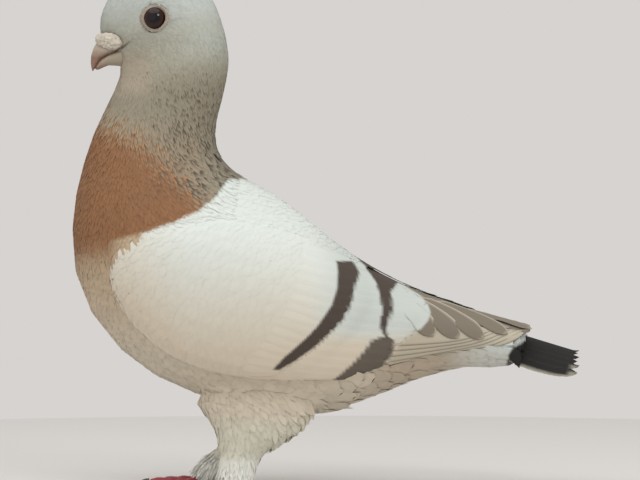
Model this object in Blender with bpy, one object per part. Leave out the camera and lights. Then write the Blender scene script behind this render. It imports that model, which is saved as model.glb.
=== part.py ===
"""A standing fancy pigeon at life size, as a still model: gold collar, barred wings, feathered shanks.

The bird faces -X and stands on Z = 0, with its left side towards -Y. Sizes below are in millimetres.
One body form, a row of sections from the crown to the tail, carries everything: head, neck, trunk and
rump are lengths of it, and each folded wing is a patch laid over its side.
"""

import math
from typing import NamedTuple

import bmesh
import bpy
import numpy as np
from mathutils import Matrix, Vector

MM = 0.001
GAP = 0.3  # between solids that meet
LEFT, RIGHT = -1.0, 1.0
SIDE_NAMES = {LEFT: "left", RIGHT: "right"}

# ---------------------------------------------------------------- colours, as linear RGB
COLOURS = {
    "plumage_grey": ((0.42, 0.43, 0.38), 0.85),
    "plumage_ochre": ((0.33, 0.18, 0.09), 0.85),
    "plumage_cream": ((0.48, 0.43, 0.34), 0.85),
    "plumage_white": ((0.74, 0.74, 0.68), 0.80),
    "plumage_barred": ((0.60, 0.58, 0.50), 0.80),
    "plumage_flight": ((0.28, 0.25, 0.20), 0.75),
    "plumage_tail": ((0.07, 0.06, 0.05), 0.75),
    "bill_horn": ((0.30, 0.18, 0.14), 0.45),
    "cere_skin": ((0.60, 0.53, 0.44), 0.70),
    "eye_dark": ((0.012, 0.006, 0.006), 0.06),
    "toe_scale": ((0.42, 0.10, 0.11), 0.55),
    "claw_horn": ((0.16, 0.11, 0.09), 0.40),
}


class Section(NamedTuple):
    """One cross-section of the body: its back and front points in the side view, as (x, z)."""

    back: tuple[float, float]
    front: tuple[float, float]
    half_width: float
    widest: float  # where it is widest, from 0 at the back to 1 at the front


# ---------------------------------------------------------------- the body form, crown to tail
BODY = (
    Section((-88.0, 271.0), (-88.2, 271.0), 0.05, 0.50),
    Section((-79.5, 270.3), (-97.0, 270.2), 7.2, 0.50),
    Section((-72.5, 268.5), (-104.0, 268.0), 10.8, 0.46),
    Section((-65.5, 265.0), (-110.5, 263.6), 13.2, 0.42),
    Section((-60.0, 260.0), (-115.5, 258.0), 14.8, 0.38),
    Section((-56.8, 253.5), (-118.3, 252.0), 15.8, 0.34),
    Section((-54.5, 247.0), (-119.6, 246.0), 16.6, 0.32),
    Section((-52.3, 240.5), (-119.5, 239.5), 17.4, 0.32),
    Section((-51.0, 234.0), (-114.0, 232.5), 18.2, 0.34),
    Section((-50.0, 227.5), (-109.5, 225.5), 19.2, 0.38),
    Section((-50.5, 221.0), (-108.3, 218.5), 20.4, 0.44),
    Section((-52.0, 214.0), (-111.5, 210.0), 22.0, 0.49),
    Section((-54.3, 205.0), (-116.5, 199.5), 24.0, 0.52),
    Section((-57.0, 195.5), (-122.0, 187.5), 26.6, 0.54),
    Section((-58.0, 187.0), (-127.0, 173.0), 30.0, 0.55),
    Section((-57.0, 179.5), (-131.5, 156.0), 34.4, 0.54),
    Section((-53.0, 172.5), (-133.6, 137.0), 39.6, 0.52),
    Section((-47.0, 167.0), (-132.0, 114.5), 44.0, 0.50),
    Section((-38.0, 162.0), (-123.5, 92.5), 47.2, 0.48),
    Section((-27.0, 156.0), (-108.0, 73.0), 48.6, 0.47),
    Section((-16.0, 148.3), (-89.0, 58.8), 48.2, 0.46),
    Section((-5.0, 139.5), (-68.0, 49.5), 46.0, 0.45),
    Section((6.0, 130.3), (-45.0, 42.5), 42.6, 0.45),
    Section((18.0, 122.0), (-22.0, 38.0), 38.2, 0.45),
    Section((30.0, 114.6), (0.0, 39.0), 33.6, 0.46),
    Section((42.0, 108.2), (21.0, 46.5), 29.4, 0.47),
    Section((55.0, 102.4), (42.0, 55.0), 25.6, 0.48),
    Section((68.5, 97.0), (60.0, 61.0), 22.8, 0.50),
    Section((82.0, 92.0), (76.0, 64.0), 21.2, 0.52),
    Section((94.0, 88.4), (90.0, 63.6), 20.6, 0.55),
    Section((103.0, 86.2), (101.0, 65.0), 20.2, 0.56),
    Section((110.5, 84.6), (109.5, 66.0), 19.8, 0.56),
)
HEAD_END, NECK_END, TRUNK_END, RUMP_END = 10.0, 15.0, 25.0, 29.9  # stations of the form
ROUND = 24  # points round one section
STEP = 1.0  # stations between the rings of a length of body
# how much the front of a section narrows to the bill, by station
FACE_PINCH = {3: 0.15, 4: 0.30, 5: 0.38, 6: 0.46, 7: 0.50, 8: 0.50, 9: 0.42, 10: 0.30, 11: 0.12}

# ---------------------------------------------------------------- eyes, bill and cere
EYE_CENTRE = (-89.3, 12.4, 247.6)  # x, distance from the midline, z
EYE_HALF = (6.1, 4.1, 6.1)
UPPER_BILL = (
    Section((-115.5, 240.5), (-105.5, 233.6), 5.0, 0.78),
    Section((-119.8, 237.0), (-109.8, 231.3), 4.8, 0.78),
    Section((-122.4, 232.6), (-114.6, 229.2), 4.2, 0.76),
    Section((-123.6, 228.6), (-118.4, 227.2), 3.3, 0.72),
    Section((-123.8, 225.0), (-120.6, 224.4), 2.2, 0.66),
    Section((-123.4, 222.2), (-122.0, 222.0), 1.1, 0.60),
    Section((-122.9, 220.4), (-122.8, 220.4), 0.05, 0.5),
)
LOWER_BILL = (
    Section((-106.6, 232.2), (-106.6, 223.4), 4.5, 0.30),
    Section((-110.8, 230.0), (-110.6, 223.8), 4.1, 0.30),
    Section((-115.0, 228.2), (-114.6, 224.0), 3.5, 0.32),
    Section((-118.3, 226.0), (-117.6, 222.8), 2.6, 0.36),
    Section((-120.4, 223.4), (-119.6, 221.8), 1.6, 0.42),
    Section((-121.2, 221.6), (-121.1, 221.5), 0.05, 0.5),
)
CERE_CENTRE = (-114.0, 4.1, 236.0)
CERE_HALF = (7.9, 3.1, 4.5)  # along the bill, across and up
CERE_TILT, CERE_SPREAD = math.radians(12.0), math.radians(18.0)  # rear ends down, and apart
BILL_ROUND = 14

# ---------------------------------------------------------------- wings, laid over the body form
class WingEdge(NamedTuple):
    """Where the folded wing starts and ends round the body, in degrees from the back, at a station."""

    station: float
    top: float
    bottom: float


WING_EDGES = (
    WingEdge(17.15, 106.0, 112.0),
    WingEdge(17.30, 92.0, 122.0),
    WingEdge(17.70, 74.0, 130.0),
    WingEdge(18.40, 58.0, 135.0),
    WingEdge(19.40, 47.0, 138.0),
    WingEdge(20.60, 37.0, 138.0),
    WingEdge(22.00, 27.0, 131.0),
    WingEdge(23.50, 17.0, 121.0),
    WingEdge(25.00, 11.0, 117.0),
    WingEdge(26.50, 9.0, 116.0),
    WingEdge(28.00, 9.0, 104.0),
    WingEdge(29.50, 10.0, 80.0),
    WingEdge(30.50, 13.0, 58.0),
    WingEdge(30.85, 18.0, 44.0),
)
WING_FRONT, WING_TIP = WING_EDGES[0].station, WING_EDGES[-1].station


class WingGroup(NamedTuple):
    """One overlapping group of the folded wing's feathers, from a front to a rear line of stations."""

    name: str
    slot: str
    front: float
    rear: float
    front_bow: float  # how far each line bows to the rear at mid height
    rear_bow: float
    front_thick: float
    rear_thick: float
    cells: int
    crowding: float = 1.0  # above 1, cells crowd to the front, where the outline turns fastest


SHIELD_REAR, SECONDARY_REAR = 22.7, 24.5
SHIELD_BOW, SECONDARY_BOW = 1.1, 1.2
WING_SEAM = 0.035  # stations between one group and the next
WING_GROUPS = (
    WingGroup("shield", "plumage_white", WING_FRONT, SHIELD_REAR, 0.0, SHIELD_BOW, 7.0, 4.6, 11, 1.5),
    WingGroup(
        "secondaries", "plumage_barred", SHIELD_REAR + WING_SEAM, SECONDARY_REAR, SHIELD_BOW, SECONDARY_BOW,
        3.4, 2.8, 4,
    ),
    WingGroup(
        "primaries", "plumage_flight", SECONDARY_REAR + WING_SEAM, WING_TIP, SECONDARY_BOW, 0.0, 1.9, 1.3, 9
    ),
)
WING_RIM = 1.0
WING_NOSE = 0.18  # share of the shield over which its front edge rounds off
WING_CLEAR = 0.8  # over the body, so that flat facets stay apart
WING_ROWS = 10  # cells from the top edge to the bottom edge

# ---------------------------------------------------------------- tail
TAIL_START, TAIL_END = 82.6, 133.6
TAIL_TOP_AT_START, TAIL_FALL = 87.4, 0.305  # height of the middle feathers, and how it drops per mm
# x and half width
TAIL_HALF_WIDTHS = ((79.0, 11.5), (95.0, 15.5), (104.0, 18.0), (120.0, 23.0), (135.0, 26.5))
# x and how far the outer feathers drop below the middle ones
TAIL_ARCH = ((79.0, 10.0), (95.0, 14.0), (110.0, 16.0), (125.0, 15.0), (135.0, 12.0))
TAIL_THICK_ROOT, TAIL_THICK_TIP = 3.2, 1.0
TAIL_ARCH_POWER = 1.7  # 1 would be a tent, 2 a barrel
TAIL_FEATHERS = 12
TAIL_SCALLOP = 0.9  # how far the notches between the feathers' tips go in
TAIL_ROUNDING = 2.4  # and how much shorter the outer feathers are
TAIL_COLUMNS, TAIL_CELLS = 24, 5

# ---------------------------------------------------------------- legs and feet
FOOT_OUT = 20.0  # midline to the middle of a foot
FOOT_X = {LEFT: -47.0, RIGHT: -62.0}  # the right foot stands ahead
THIGH = (  # height, front x, rear x, half width, out from the midline
    (60.0, -48.0, -22.0, 6.0, 16.0),
    (55.0, -58.0, -14.0, 9.0, 17.0),
    (50.0, -66.0, -7.0, 11.2, 18.2),
    (45.5, -67.5, -3.5, 12.8, 19.2),
    (40.5, -64.0, -5.0, 13.0, 19.8),
    (36.0, -60.5, -8.5, 12.6, 20.2),
    (32.0, -58.0, -12.5, 11.8, 20.5),
    (27.0, -56.5, -19.0, 10.2, 20.6),
    (21.5, -56.0, -28.0, 8.6, 20.6),
)
SHANK = (  # height, half length fore and aft, half width; the boot of feathers round the shank
    (21.2, 13.2, 8.2),
    (16.5, 10.8, 7.6),
    (11.0, 9.9, 7.4),
    (6.6, 10.6, 7.4),
    (5.0, 9.4, 6.6),
    (3.6, 7.2, 5.2),
    (0.0, 4.8, 4.2),
)
SHANK_LEAN = 2.6  # how late the shank, going up, leaves the foot for the thigh
LEG_ROUND = 16


class Toe(NamedTuple):
    """One toe, without its claw."""

    name: str
    heading: float  # degrees from straight ahead, outwards
    start: float  # from the middle of the foot
    length: float
    radius: float
    joints: int


TOES = (
    Toe("inner", -38.0, 7.6, 17.0, 2.3, 2),
    Toe("middle", 2.0, 8.8, 23.0, 2.6, 3),
    Toe("outer", 40.0, 7.6, 20.0, 2.2, 4),
    Toe("hind", 172.0, 8.6, 11.0, 2.2, 1),
)
TOE_ROUND = 8
TOE_TAPER, TOE_PADS, TOE_END = 0.30, 0.10, 0.72  # thinner at the tip, swelling at each pad, rounded ends
SOLE_CUT = 0.45  # how much of a toe's round underside is flat on the ground
CLAW_LENGTH, CLAW_RADIUS, CLAW_POINT = 6.0, 1.25, 0.12
CLAW_ARCH, CLAW_TIP_HEIGHT = 0.5, 0.55
CLAW_ROUND, CLAW_STEPS = 6, 4


# ================================================================ helpers
def smooth_keys(keys, at):
    """Reads a smooth curve through rows of (place, value, ...) at one place."""
    places = [row[0] for row in keys]
    at = min(max(at, places[0]), places[-1])
    index = min(max(int(np.searchsorted(places, at, side="right")) - 1, 0), len(keys) - 2)
    rows = np.array(keys, float)[:, 1:]
    before = rows[max(index - 1, 0)]
    low, high = rows[index], rows[index + 1]
    after = rows[min(index + 2, len(keys) - 1)]
    x0 = places[max(index - 1, 0)]
    x1, x2 = places[index], places[index + 1]
    x3 = places[min(index + 2, len(keys) - 1)]
    span = x2 - x1
    slope_low = (high - before) / (x2 - x0) * span
    slope_high = (after - low) / (x3 - x1) * span
    t = (at - x1) / span
    return (
        (2 * t**3 - 3 * t**2 + 1) * low
        + (t**3 - 2 * t**2 + t) * slope_low
        + (3 * t**2 - 2 * t**3) * high
        + (t**3 - t**2) * slope_high
    )


def section_keys(sections, pinch):
    """Sections as rows that smooth_keys reads: station, back, front, half width, widest, pinch.

    pinch says by how much the front of a section narrows towards its point, as a face does to the bill.
    """
    return tuple(
        (i, *s.back, *s.front, s.half_width, s.widest, pinch.get(i, 0.0)) for i, s in enumerate(sections)
    )


BODY_KEYS = section_keys(BODY, FACE_PINCH)


def section_point(keys, station, angle, grow=0.0):
    """A point of a form at a station and an angle from its back, on the +Y side up to half a turn."""
    back_x, back_z, front_x, front_z, half_width, widest, pinch = smooth_keys(keys, station)
    back, front = np.array([back_x, back_z]), np.array([front_x, front_z])
    depth = np.linalg.norm(front - back)
    axis = (front - back) / max(depth, 1e-9)
    across, along = math.sin(angle), -math.cos(angle)
    middle = widest * depth
    reach = middle if along < 0 else depth - middle
    across *= 1.0 - pinch * max(along, 0.0) ** 1.5
    place = back + axis * (middle + along * (reach + grow))
    return np.array([place[0], across * (half_width + grow), place[1]])


def body_point(station, angle, lift=0.0):
    """A point on the body form, lifted along the form's outward normal."""
    here = section_point(BODY_KEYS, station, angle)
    if lift == 0.0:
        return here
    step = 0.02
    rearwards = section_point(BODY_KEYS, station + step, angle) - here
    downwards = section_point(BODY_KEYS, station, angle + step) - here
    normal = np.cross(rearwards, downwards)
    return here + normal / np.linalg.norm(normal) * lift


def new_object(name, slot, points, faces):
    """An object from points in millimetres, shaded smooth, with its faces turned outwards."""
    mesh = bpy.data.meshes.new(name)
    mesh.from_pydata([Vector(p) * MM for p in points], [], faces)
    work = bmesh.new()
    work.from_mesh(mesh)
    bmesh.ops.remove_doubles(work, verts=work.verts, dist=0.00001)
    bmesh.ops.recalc_face_normals(work, faces=work.faces)
    work.to_mesh(mesh)
    work.free()
    mesh.shade_smooth()
    mesh.set_sharp_from_angle(angle=math.radians(50))
    made = bpy.data.objects.new(name, mesh)
    mesh.materials.append(material(slot))
    bpy.context.scene.collection.objects.link(made)
    return made


def material(slot):
    """The Principled material of a slot, made once."""
    if slot in bpy.data.materials:
        return bpy.data.materials[slot]
    colour, roughness = COLOURS[slot]
    made = bpy.data.materials.new(slot)
    made.use_nodes = True
    shader = made.node_tree.nodes["Principled BSDF"]
    shader.inputs["Base Color"].default_value = (*colour, 1.0)
    shader.inputs["Roughness"].default_value = roughness
    shader.inputs["Metallic"].default_value = 0.0
    return made


def tube(rings):
    """Points and faces of a closed tube through rings of equal count; each end is closed with a fan."""
    count = len(rings[0])
    points = [tuple(p) for ring in rings for p in ring]
    faces = []
    for i in range(len(rings) - 1):
        for j in range(count):
            k = (j + 1) % count
            faces.append((i * count + j, i * count + k, (i + 1) * count + k, (i + 1) * count + j))
    for ring, start in ((rings[0], 0), (rings[-1], (len(rings) - 1) * count)):
        points.append(tuple(np.mean(ring, axis=0)))
        hub = len(points) - 1
        faces += [(start + j, start + (j + 1) % count, hub) for j in range(count)]
    return points, faces


def shell(outer, inner):
    """Points and faces of a closed shell between two grids of the same size, given as [row][column]."""
    rows, columns = len(outer), len(outer[0])
    points = [tuple(p) for grid in (outer, inner) for row in grid for p in row]
    under = rows * columns

    def at(i, j):
        return i * columns + j

    faces = []
    for i in range(rows - 1):
        for j in range(columns - 1):
            quad = (at(i, j), at(i, j + 1), at(i + 1, j + 1), at(i + 1, j))
            faces.append(quad)
            faces.append(tuple(under + n for n in reversed(quad)))
    rim = [at(0, j) for j in range(columns)]
    rim += [at(i, columns - 1) for i in range(1, rows)]
    rim += [at(rows - 1, j) for j in range(columns - 2, -1, -1)]
    rim += [at(i, 0) for i in range(rows - 2, 0, -1)]
    for a, b in zip(rim, rim[1:] + rim[:1]):
        faces.append((a, b, under + b, under + a))
    return points, faces


def mirrored(points, side):
    """Points made on the +Y side, moved to the side asked for."""
    return [(x, y * side, z) for x, y, z in points]


def cut_away(body, cutter):
    """Takes a hidden cutter out of a body with a Boolean modifier."""
    cutter.hide_render = True
    cutter.display_type = "WIRE"
    cut = body.modifiers.new("fit", "BOOLEAN")
    cut.operation = "DIFFERENCE"
    cut.solver = "EXACT"
    cut.object = cutter


# ================================================================ head, neck, trunk and rump
def form_rings(keys, start, end, step, count, grow=0.0):
    """Rings of a form from one station to another."""
    steps = max(1, round((end - start) / step))
    return [
        [section_point(keys, station, 2 * math.pi * j / count, grow) for j in range(count)]
        for station in np.linspace(start, end, steps + 1)
    ]


def body_length(name, slot, start, end):
    """One length of the body form; each end stays half a gap inside it."""
    rings = form_rings(BODY_KEYS, start, end, STEP, ROUND)
    for ring, other in ((rings[0], rings[1]), (rings[-1], rings[-2])):
        inwards = np.mean(other, axis=0) - np.mean(ring, axis=0)
        shift = inwards / np.linalg.norm(inwards) * GAP / 2
        ring[:] = [p + shift for p in ring]
    return new_object(name, slot, *tube(rings))


def make_body():
    """The four lengths of the body form."""
    head = body_length("head", "plumage_grey", 0.0, HEAD_END)
    neck = body_length("neck", "plumage_ochre", HEAD_END, NECK_END)
    trunk = body_length("trunk", "plumage_cream", NECK_END, TRUNK_END)
    rump = body_length("rump", "plumage_cream", TRUNK_END, RUMP_END)
    return head, neck, trunk, rump


# ================================================================ eyes, bill and cere
def ellipsoid(name, slot, centre, halves, tilt=0.0, turn=0.0, grow=0.0):
    """An ellipsoid, tilted in the side view and then turned as seen from above."""
    work = bmesh.new()
    bmesh.ops.create_uvsphere(work, u_segments=14, v_segments=8, radius=1.0)
    sizes = Vector([h + grow for h in halves]) * MM
    pose = Matrix.Rotation(turn, 4, "Z") @ Matrix.Rotation(tilt, 4, "Y")
    place = Matrix.Translation(Vector(centre) * MM) @ pose @ Matrix.Diagonal((*sizes, 1.0))
    bmesh.ops.transform(work, matrix=place, verts=work.verts)
    bmesh.ops.recalc_face_normals(work, faces=work.faces)
    mesh = bpy.data.meshes.new(name)
    work.to_mesh(mesh)
    work.free()
    mesh.shade_smooth()
    mesh.materials.append(material(slot))
    made = bpy.data.objects.new(name, mesh)
    bpy.context.scene.collection.objects.link(made)
    return made


def make_eyes(head):
    """Both eyeballs, each in a socket cut into the head."""
    made = []
    for side in (LEFT, RIGHT):
        centre = (EYE_CENTRE[0], EYE_CENTRE[1] * side, EYE_CENTRE[2])
        made.append(ellipsoid(f"eye_{SIDE_NAMES[side]}", "eye_dark", centre, EYE_HALF))
        socket = ellipsoid(f"socket_{SIDE_NAMES[side]}", "eye_dark", centre, EYE_HALF, grow=GAP)
        cut_away(head, socket)
    return made


def make_bill(head):
    """Upper and lower bill, and the two lobes of the cere on them, all let into the head."""
    made = []
    cutters = []
    for name, sections in (("bill_upper", UPPER_BILL), ("bill_lower", LOWER_BILL)):
        keys = section_keys(sections, {})
        last = len(sections) - 1
        rings = form_rings(keys, 0, last, STEP, BILL_ROUND)
        made.append(new_object(name, "bill_horn", *tube(rings)))
        fuller = form_rings(keys, 0, last, STEP, BILL_ROUND, grow=GAP)
        cutters.append(new_object(f"{name}_space", "bill_horn", *tube(fuller)))
    for side in (LEFT, RIGHT):
        centre = (CERE_CENTRE[0], CERE_CENTRE[1] * side, CERE_CENTRE[2])
        name, pose = f"cere_{SIDE_NAMES[side]}", (CERE_TILT, CERE_SPREAD * side)
        lobe = ellipsoid(name, "cere_skin", centre, CERE_HALF, *pose)
        cut_away(lobe, cutters[0])
        cutters.append(ellipsoid(f"{name}_space", "cere_skin", centre, CERE_HALF, *pose, grow=GAP))
        made.append(lobe)
    for cutter in cutters:
        cut_away(head, cutter)
    return made


# ================================================================ wings
def wing_point(group, along, share, lift):
    """A point of a feather group: along it, at a share of its height, and lifted off the body."""
    bow = group.front_bow * (1 - along) + group.rear_bow * along
    station = group.front + (group.rear - group.front) * along + bow * math.sin(math.pi * share) ** 1.3
    station = min(station, WING_TIP)
    top, bottom = smooth_keys(WING_EDGES, station)
    return body_point(station, math.radians(top + (bottom - top) * share), lift)


def wing_group(group, side):
    """One feather group of one wing, as a shell over the body that thins to a rim all round."""
    outer, inner = [], []
    for i in range(group.cells + 1):
        along = (i / group.cells) ** group.crowding
        thick = group.front_thick + (group.rear_thick - group.front_thick) * along
        if group.front == WING_FRONT:
            thick = WING_RIM + (thick - WING_RIM) * min(1.0, along / WING_NOSE) ** 0.5
        outer_row, inner_row = [], []
        for j in range(WING_ROWS + 1):
            share = j / WING_ROWS
            height = WING_RIM + (thick - WING_RIM) * math.sin(math.pi * share) ** 0.6
            outer_row.append(wing_point(group, along, share, WING_CLEAR + height))
            inner_row.append(wing_point(group, along, share, WING_CLEAR))
        outer.append(outer_row)
        inner.append(inner_row)
    points, faces = shell(outer, inner)
    return new_object(f"wing_{SIDE_NAMES[side]}_{group.name}", group.slot, mirrored(points, side), faces)


def make_wings():
    """Shield, secondaries and primaries of both folded wings."""
    return [wing_group(group, side) for side in (LEFT, RIGHT) for group in WING_GROUPS]


# ================================================================ tail
def make_tail(name, grow=0.0):
    """The closed tail: a roof of twelve feathers with rounded tips, or the space it needs."""
    top, under = [], []
    for i in range(TAIL_CELLS + 1):
        along = i / TAIL_CELLS
        top_row, under_row = [], []
        for j in range(TAIL_COLUMNS + 1):
            v = 2.0 * j / TAIL_COLUMNS - 1.0
            scallop = TAIL_SCALLOP * (1 - abs(math.sin(math.pi * (v + 1) / 2 * TAIL_FEATHERS)))
            length = TAIL_END - TAIL_START - scallop - TAIL_ROUNDING * v**4
            x = TAIL_START + along * length
            half_width = smooth_keys(TAIL_HALF_WIDTHS, x)[0] + grow
            arch = smooth_keys(TAIL_ARCH, x)[0]
            z = TAIL_TOP_AT_START - TAIL_FALL * (x - TAIL_START) - arch * abs(v) ** TAIL_ARCH_POWER
            thick = TAIL_THICK_ROOT + (TAIL_THICK_TIP - TAIL_THICK_ROOT) * along
            slope = TAIL_ARCH_POWER * arch * abs(v) ** (TAIL_ARCH_POWER - 1) / half_width * np.sign(v)
            normal = np.array([TAIL_FALL, slope, 1.0])
            normal /= np.linalg.norm(normal)
            place = np.array([x - grow * (1 - along), half_width * v, z])
            top_row.append(place + normal * grow)
            under_row.append(place - normal * (thick + grow))
        top.append(top_row)
        under.append(under_row)
    return new_object(name, "plumage_tail", *shell(top, under))


# ================================================================ legs and feet
def flat_ring(height, front, rear, half_width, out, count):
    """A level oval ring."""
    middle, half = (front + rear) / 2, (rear - front) / 2
    angles = [2 * math.pi * j / count for j in range(count)]
    return [np.array([middle + half * math.cos(a), out + half_width * math.sin(a), height]) for a in angles]


def make_leg(side, trunk_space):
    """Thigh, booted shank, toes and claws of one leg."""
    word = SIDE_NAMES[side]
    rings = [flat_ring(*row, LEG_ROUND) for row in THIGH]
    points, faces = tube(rings)
    thigh = new_object(f"thigh_{word}", "plumage_cream", mirrored(points, side), faces)
    cut_away(thigh, trunk_space)

    hock = (THIGH[-1][1] + THIGH[-1][2]) / 2
    top = SHANK[0][0]
    rings = []
    for height, half, half_width in SHANK:
        middle = FOOT_X[side] + (hock - FOOT_X[side]) * (height / top) ** SHANK_LEAN
        out = FOOT_OUT + (THIGH[-1][4] - FOOT_OUT) * height / top
        rings.append(flat_ring(height, middle - half, middle + half, half_width, out, LEG_ROUND))
    points, faces = tube(rings)
    shank = new_object(f"shank_{word}", "plumage_white", mirrored(points, side), faces)
    toes = [piece for toe in TOES for piece in make_toe(side, toe)]
    return [thigh, shank, *toes]


def make_toe(side, toe):
    """One toe with its pads, and its claw."""
    heading = math.radians(toe.heading)
    ahead = np.array([-math.cos(heading), math.sin(heading), 0.0])
    across = np.array([-ahead[1], ahead[0], 0.0])
    base = np.array([FOOT_X[side], FOOT_OUT, 0.0])
    steps = 1 + 3 * toe.joints
    rings = []
    for i in range(steps + 1):
        along = i / steps
        pads = 1.0 + TOE_PADS * math.cos(2 * math.pi * (along * toe.joints + 0.5))
        radius = toe.radius * (1.0 - TOE_TAPER * along) * pads
        if i in (0, steps):
            radius *= TOE_END
        middle = base + ahead * (toe.start + toe.length * along)
        ring = []
        for j in range(TOE_ROUND):
            angle = 2 * math.pi * (j + 0.5) / TOE_ROUND
            height = max(0.0, radius - SOLE_CUT + radius * math.sin(angle))
            ring.append(middle + across * radius * math.cos(angle) + np.array([0.0, 0.0, height]))
        rings.append(ring)
    points, faces = tube(rings)
    digit = new_object(f"toe_{SIDE_NAMES[side]}_{toe.name}", "toe_scale", mirrored(points, side), faces)
    return digit, make_claw(side, toe, base, ahead, across)


def make_claw(side, toe, base, ahead, across):
    """A curved, tapering claw that leaves the end of its toe and dips to the ground."""
    root = toe.start + toe.length + GAP
    root_height = toe.radius * (1.0 - TOE_TAPER)
    upwards = np.array([0.0, 0.0, 1.0])
    rings = []
    for i in range(CLAW_STEPS + 1):
        along = i / CLAW_STEPS
        radius = CLAW_RADIUS * (1.0 - along) ** 0.8 + CLAW_POINT
        height = root_height + (CLAW_TIP_HEIGHT - root_height) * along**1.6
        height = max(height + CLAW_ARCH * math.sin(math.pi * along), radius)
        middle = base + ahead * (root + CLAW_LENGTH * along) + upwards * height
        angles = [2 * math.pi * j / CLAW_ROUND for j in range(CLAW_ROUND)]
        rings.append([middle + radius * (across * math.cos(a) + upwards * math.sin(a)) for a in angles])
    points, faces = tube(rings)
    return new_object(f"claw_{SIDE_NAMES[side]}_{toe.name}", "claw_horn", mirrored(points, side), faces)


def main():
    """Clears the scene and builds the bird under one empty."""
    for old in list(bpy.data.objects):
        bpy.data.objects.remove(old)
    bird = bpy.data.objects.new("pigeon", None)
    bpy.context.scene.collection.objects.link(bird)

    head, neck, trunk, rump = make_body()
    trunk_space = new_object(
        "trunk_space", "plumage_cream",
        *tube(form_rings(BODY_KEYS, NECK_END, TRUNK_END, STEP, ROUND, grow=GAP)),
    )
    tail = make_tail("tail")
    cut_away(rump, make_tail("tail_space", GAP))
    pieces = [head, neck, trunk, rump, *make_eyes(head), *make_bill(head), *make_wings(), tail]
    for side in (LEFT, RIGHT):
        pieces += make_leg(side, trunk_space)
    for piece in pieces:
        piece.parent = bird


main()
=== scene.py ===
"""Looks of a standing fancy pigeon: one skin, its feathers, head, feet and a plain studio.

The bird faces -X and stands on Z = 0, with its left side towards -Y. Sizes and places in the tables and
classes below are in millimetres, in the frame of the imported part, unless a comment says otherwise. Each
finish names the real material and says what that gives the eye.
"""

import logging
import math
from dataclasses import dataclass
from enum import Enum
from typing import Protocol

import bmesh
import bpy
import numpy as np
from bpy.types import Collection, Material, Mesh, Node, NodeSocket, NodeTree, Object, bpy_prop_collection
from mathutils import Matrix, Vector, noise
from mathutils.bvhtree import BVHTree


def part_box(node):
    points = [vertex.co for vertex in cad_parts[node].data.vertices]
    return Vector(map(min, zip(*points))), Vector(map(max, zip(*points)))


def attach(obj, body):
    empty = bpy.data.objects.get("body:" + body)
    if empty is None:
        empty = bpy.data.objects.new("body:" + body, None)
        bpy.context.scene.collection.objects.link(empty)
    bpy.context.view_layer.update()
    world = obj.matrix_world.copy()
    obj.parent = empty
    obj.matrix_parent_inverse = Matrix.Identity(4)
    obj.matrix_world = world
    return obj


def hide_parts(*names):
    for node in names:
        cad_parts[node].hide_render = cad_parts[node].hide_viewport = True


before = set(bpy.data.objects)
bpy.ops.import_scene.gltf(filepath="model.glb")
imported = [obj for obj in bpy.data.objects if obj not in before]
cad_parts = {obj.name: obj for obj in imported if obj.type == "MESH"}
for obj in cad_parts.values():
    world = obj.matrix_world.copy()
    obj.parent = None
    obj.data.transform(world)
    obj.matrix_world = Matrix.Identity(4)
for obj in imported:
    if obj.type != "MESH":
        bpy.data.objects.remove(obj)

LOG = logging.getLogger("pigeon")
Array = np.ndarray
MM = 0.001
BAKE_MAP = "OFBake"
WELD = 1e-6  # vertices nearer than this in metres are one
BEYOND = 0.2  # a place across the bird that lies outside it, in metres
# the kinds and settings of the nodes that materials and coats use most
MATH, VECTOR_MATH = "ShaderNodeMath", "ShaderNodeVectorMath"
ADD, SUBTRACT, MULTIPLY, DIVIDE, POWER, SINE, SCALE, LENGTH = (
    {"operation": name}
    for name in ("ADD", "SUBTRACT", "MULTIPLY", "DIVIDE", "POWER", "SINE", "SCALE", "LENGTH")
)
COLOURS = {"data_type": "RGBA"}
VECTORS = {"data_type": "FLOAT_VECTOR"}
TUFT_PATCH = 0.003  # of the bake map's side, for one feather
SEED = 23  # of everything random


class Side(Enum):
    """The two sides of the bird, as signs of Y."""

    LEFT = -1.0
    RIGHT = 1.0


class Region(Enum):
    """The parts of the plumage, each with its own cut of feather."""

    HEAD = "head"
    NECK = "neck"
    TRUNK = "trunk"
    RUMP = "rump"
    THIGH = "thigh"
    SHANK = "shank"
    SHIELD = "shield"
    SECONDARIES = "secondaries"
    PRIMARIES = "primaries"


# ---------------- the lie of the feathers
# x, z and the direction of the feathers' tips in the side view: 0 points to the tail, -90 to the ground
BODY_LIE = (
    (-114, 246, 58), (-106, 262, 35), (-90, 270, 2), (-70, 266, -32), (-57, 250, -72), (-52, 230, -90),
    (-52, 205, -84), (-57, 180, -70), (-45, 167, -44), (-104, 248, 22), (-88, 256, -8), (-76, 244, -36),
    (-106, 238, 2), (-98, 230, -32), (-107, 220, -70), (-112, 205, -94), (-80, 220, -76), (-85, 192, -78),
    (-121, 185, -106), (-131, 152, -94), (-100, 160, -74), (-72, 168, -62), (-133, 128, -80),
    (-126, 100, -58), (-108, 76, -34), (-80, 56, -14), (-40, 43, 2), (5, 40, 14), (40, 54, 16), (90, 64, 5),
    (-16, 148, -38), (18, 122, -33), (55, 102, -22), (100, 87, -14), (-100, 108, -38), (-60, 120, -26),
    (-70, 80, -8), (-20, 110, -28), (-15, 75, -4), (60, 84, -6),
)
LEG_LIE = ((-55, 50, -62), (-20, 50, -60), (-50, 25, -92), (-30, 25, -78), (-58, 6, -100), (-38, 6, -70))
LIE_POWER = 3.2  # how fast the pull of a direction falls with distance


def linear(hex_colour: str) -> tuple[float, float, float, float]:
    """An sRGB hex colour as linear RGBA."""
    channels = [int(hex_colour[i : i + 2], 16) / 255 for i in (1, 3, 5)]
    return (*(c / 12.92 if c <= 0.04045 else ((c + 0.055) / 1.055) ** 2.4 for c in channels), 1.0)


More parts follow.
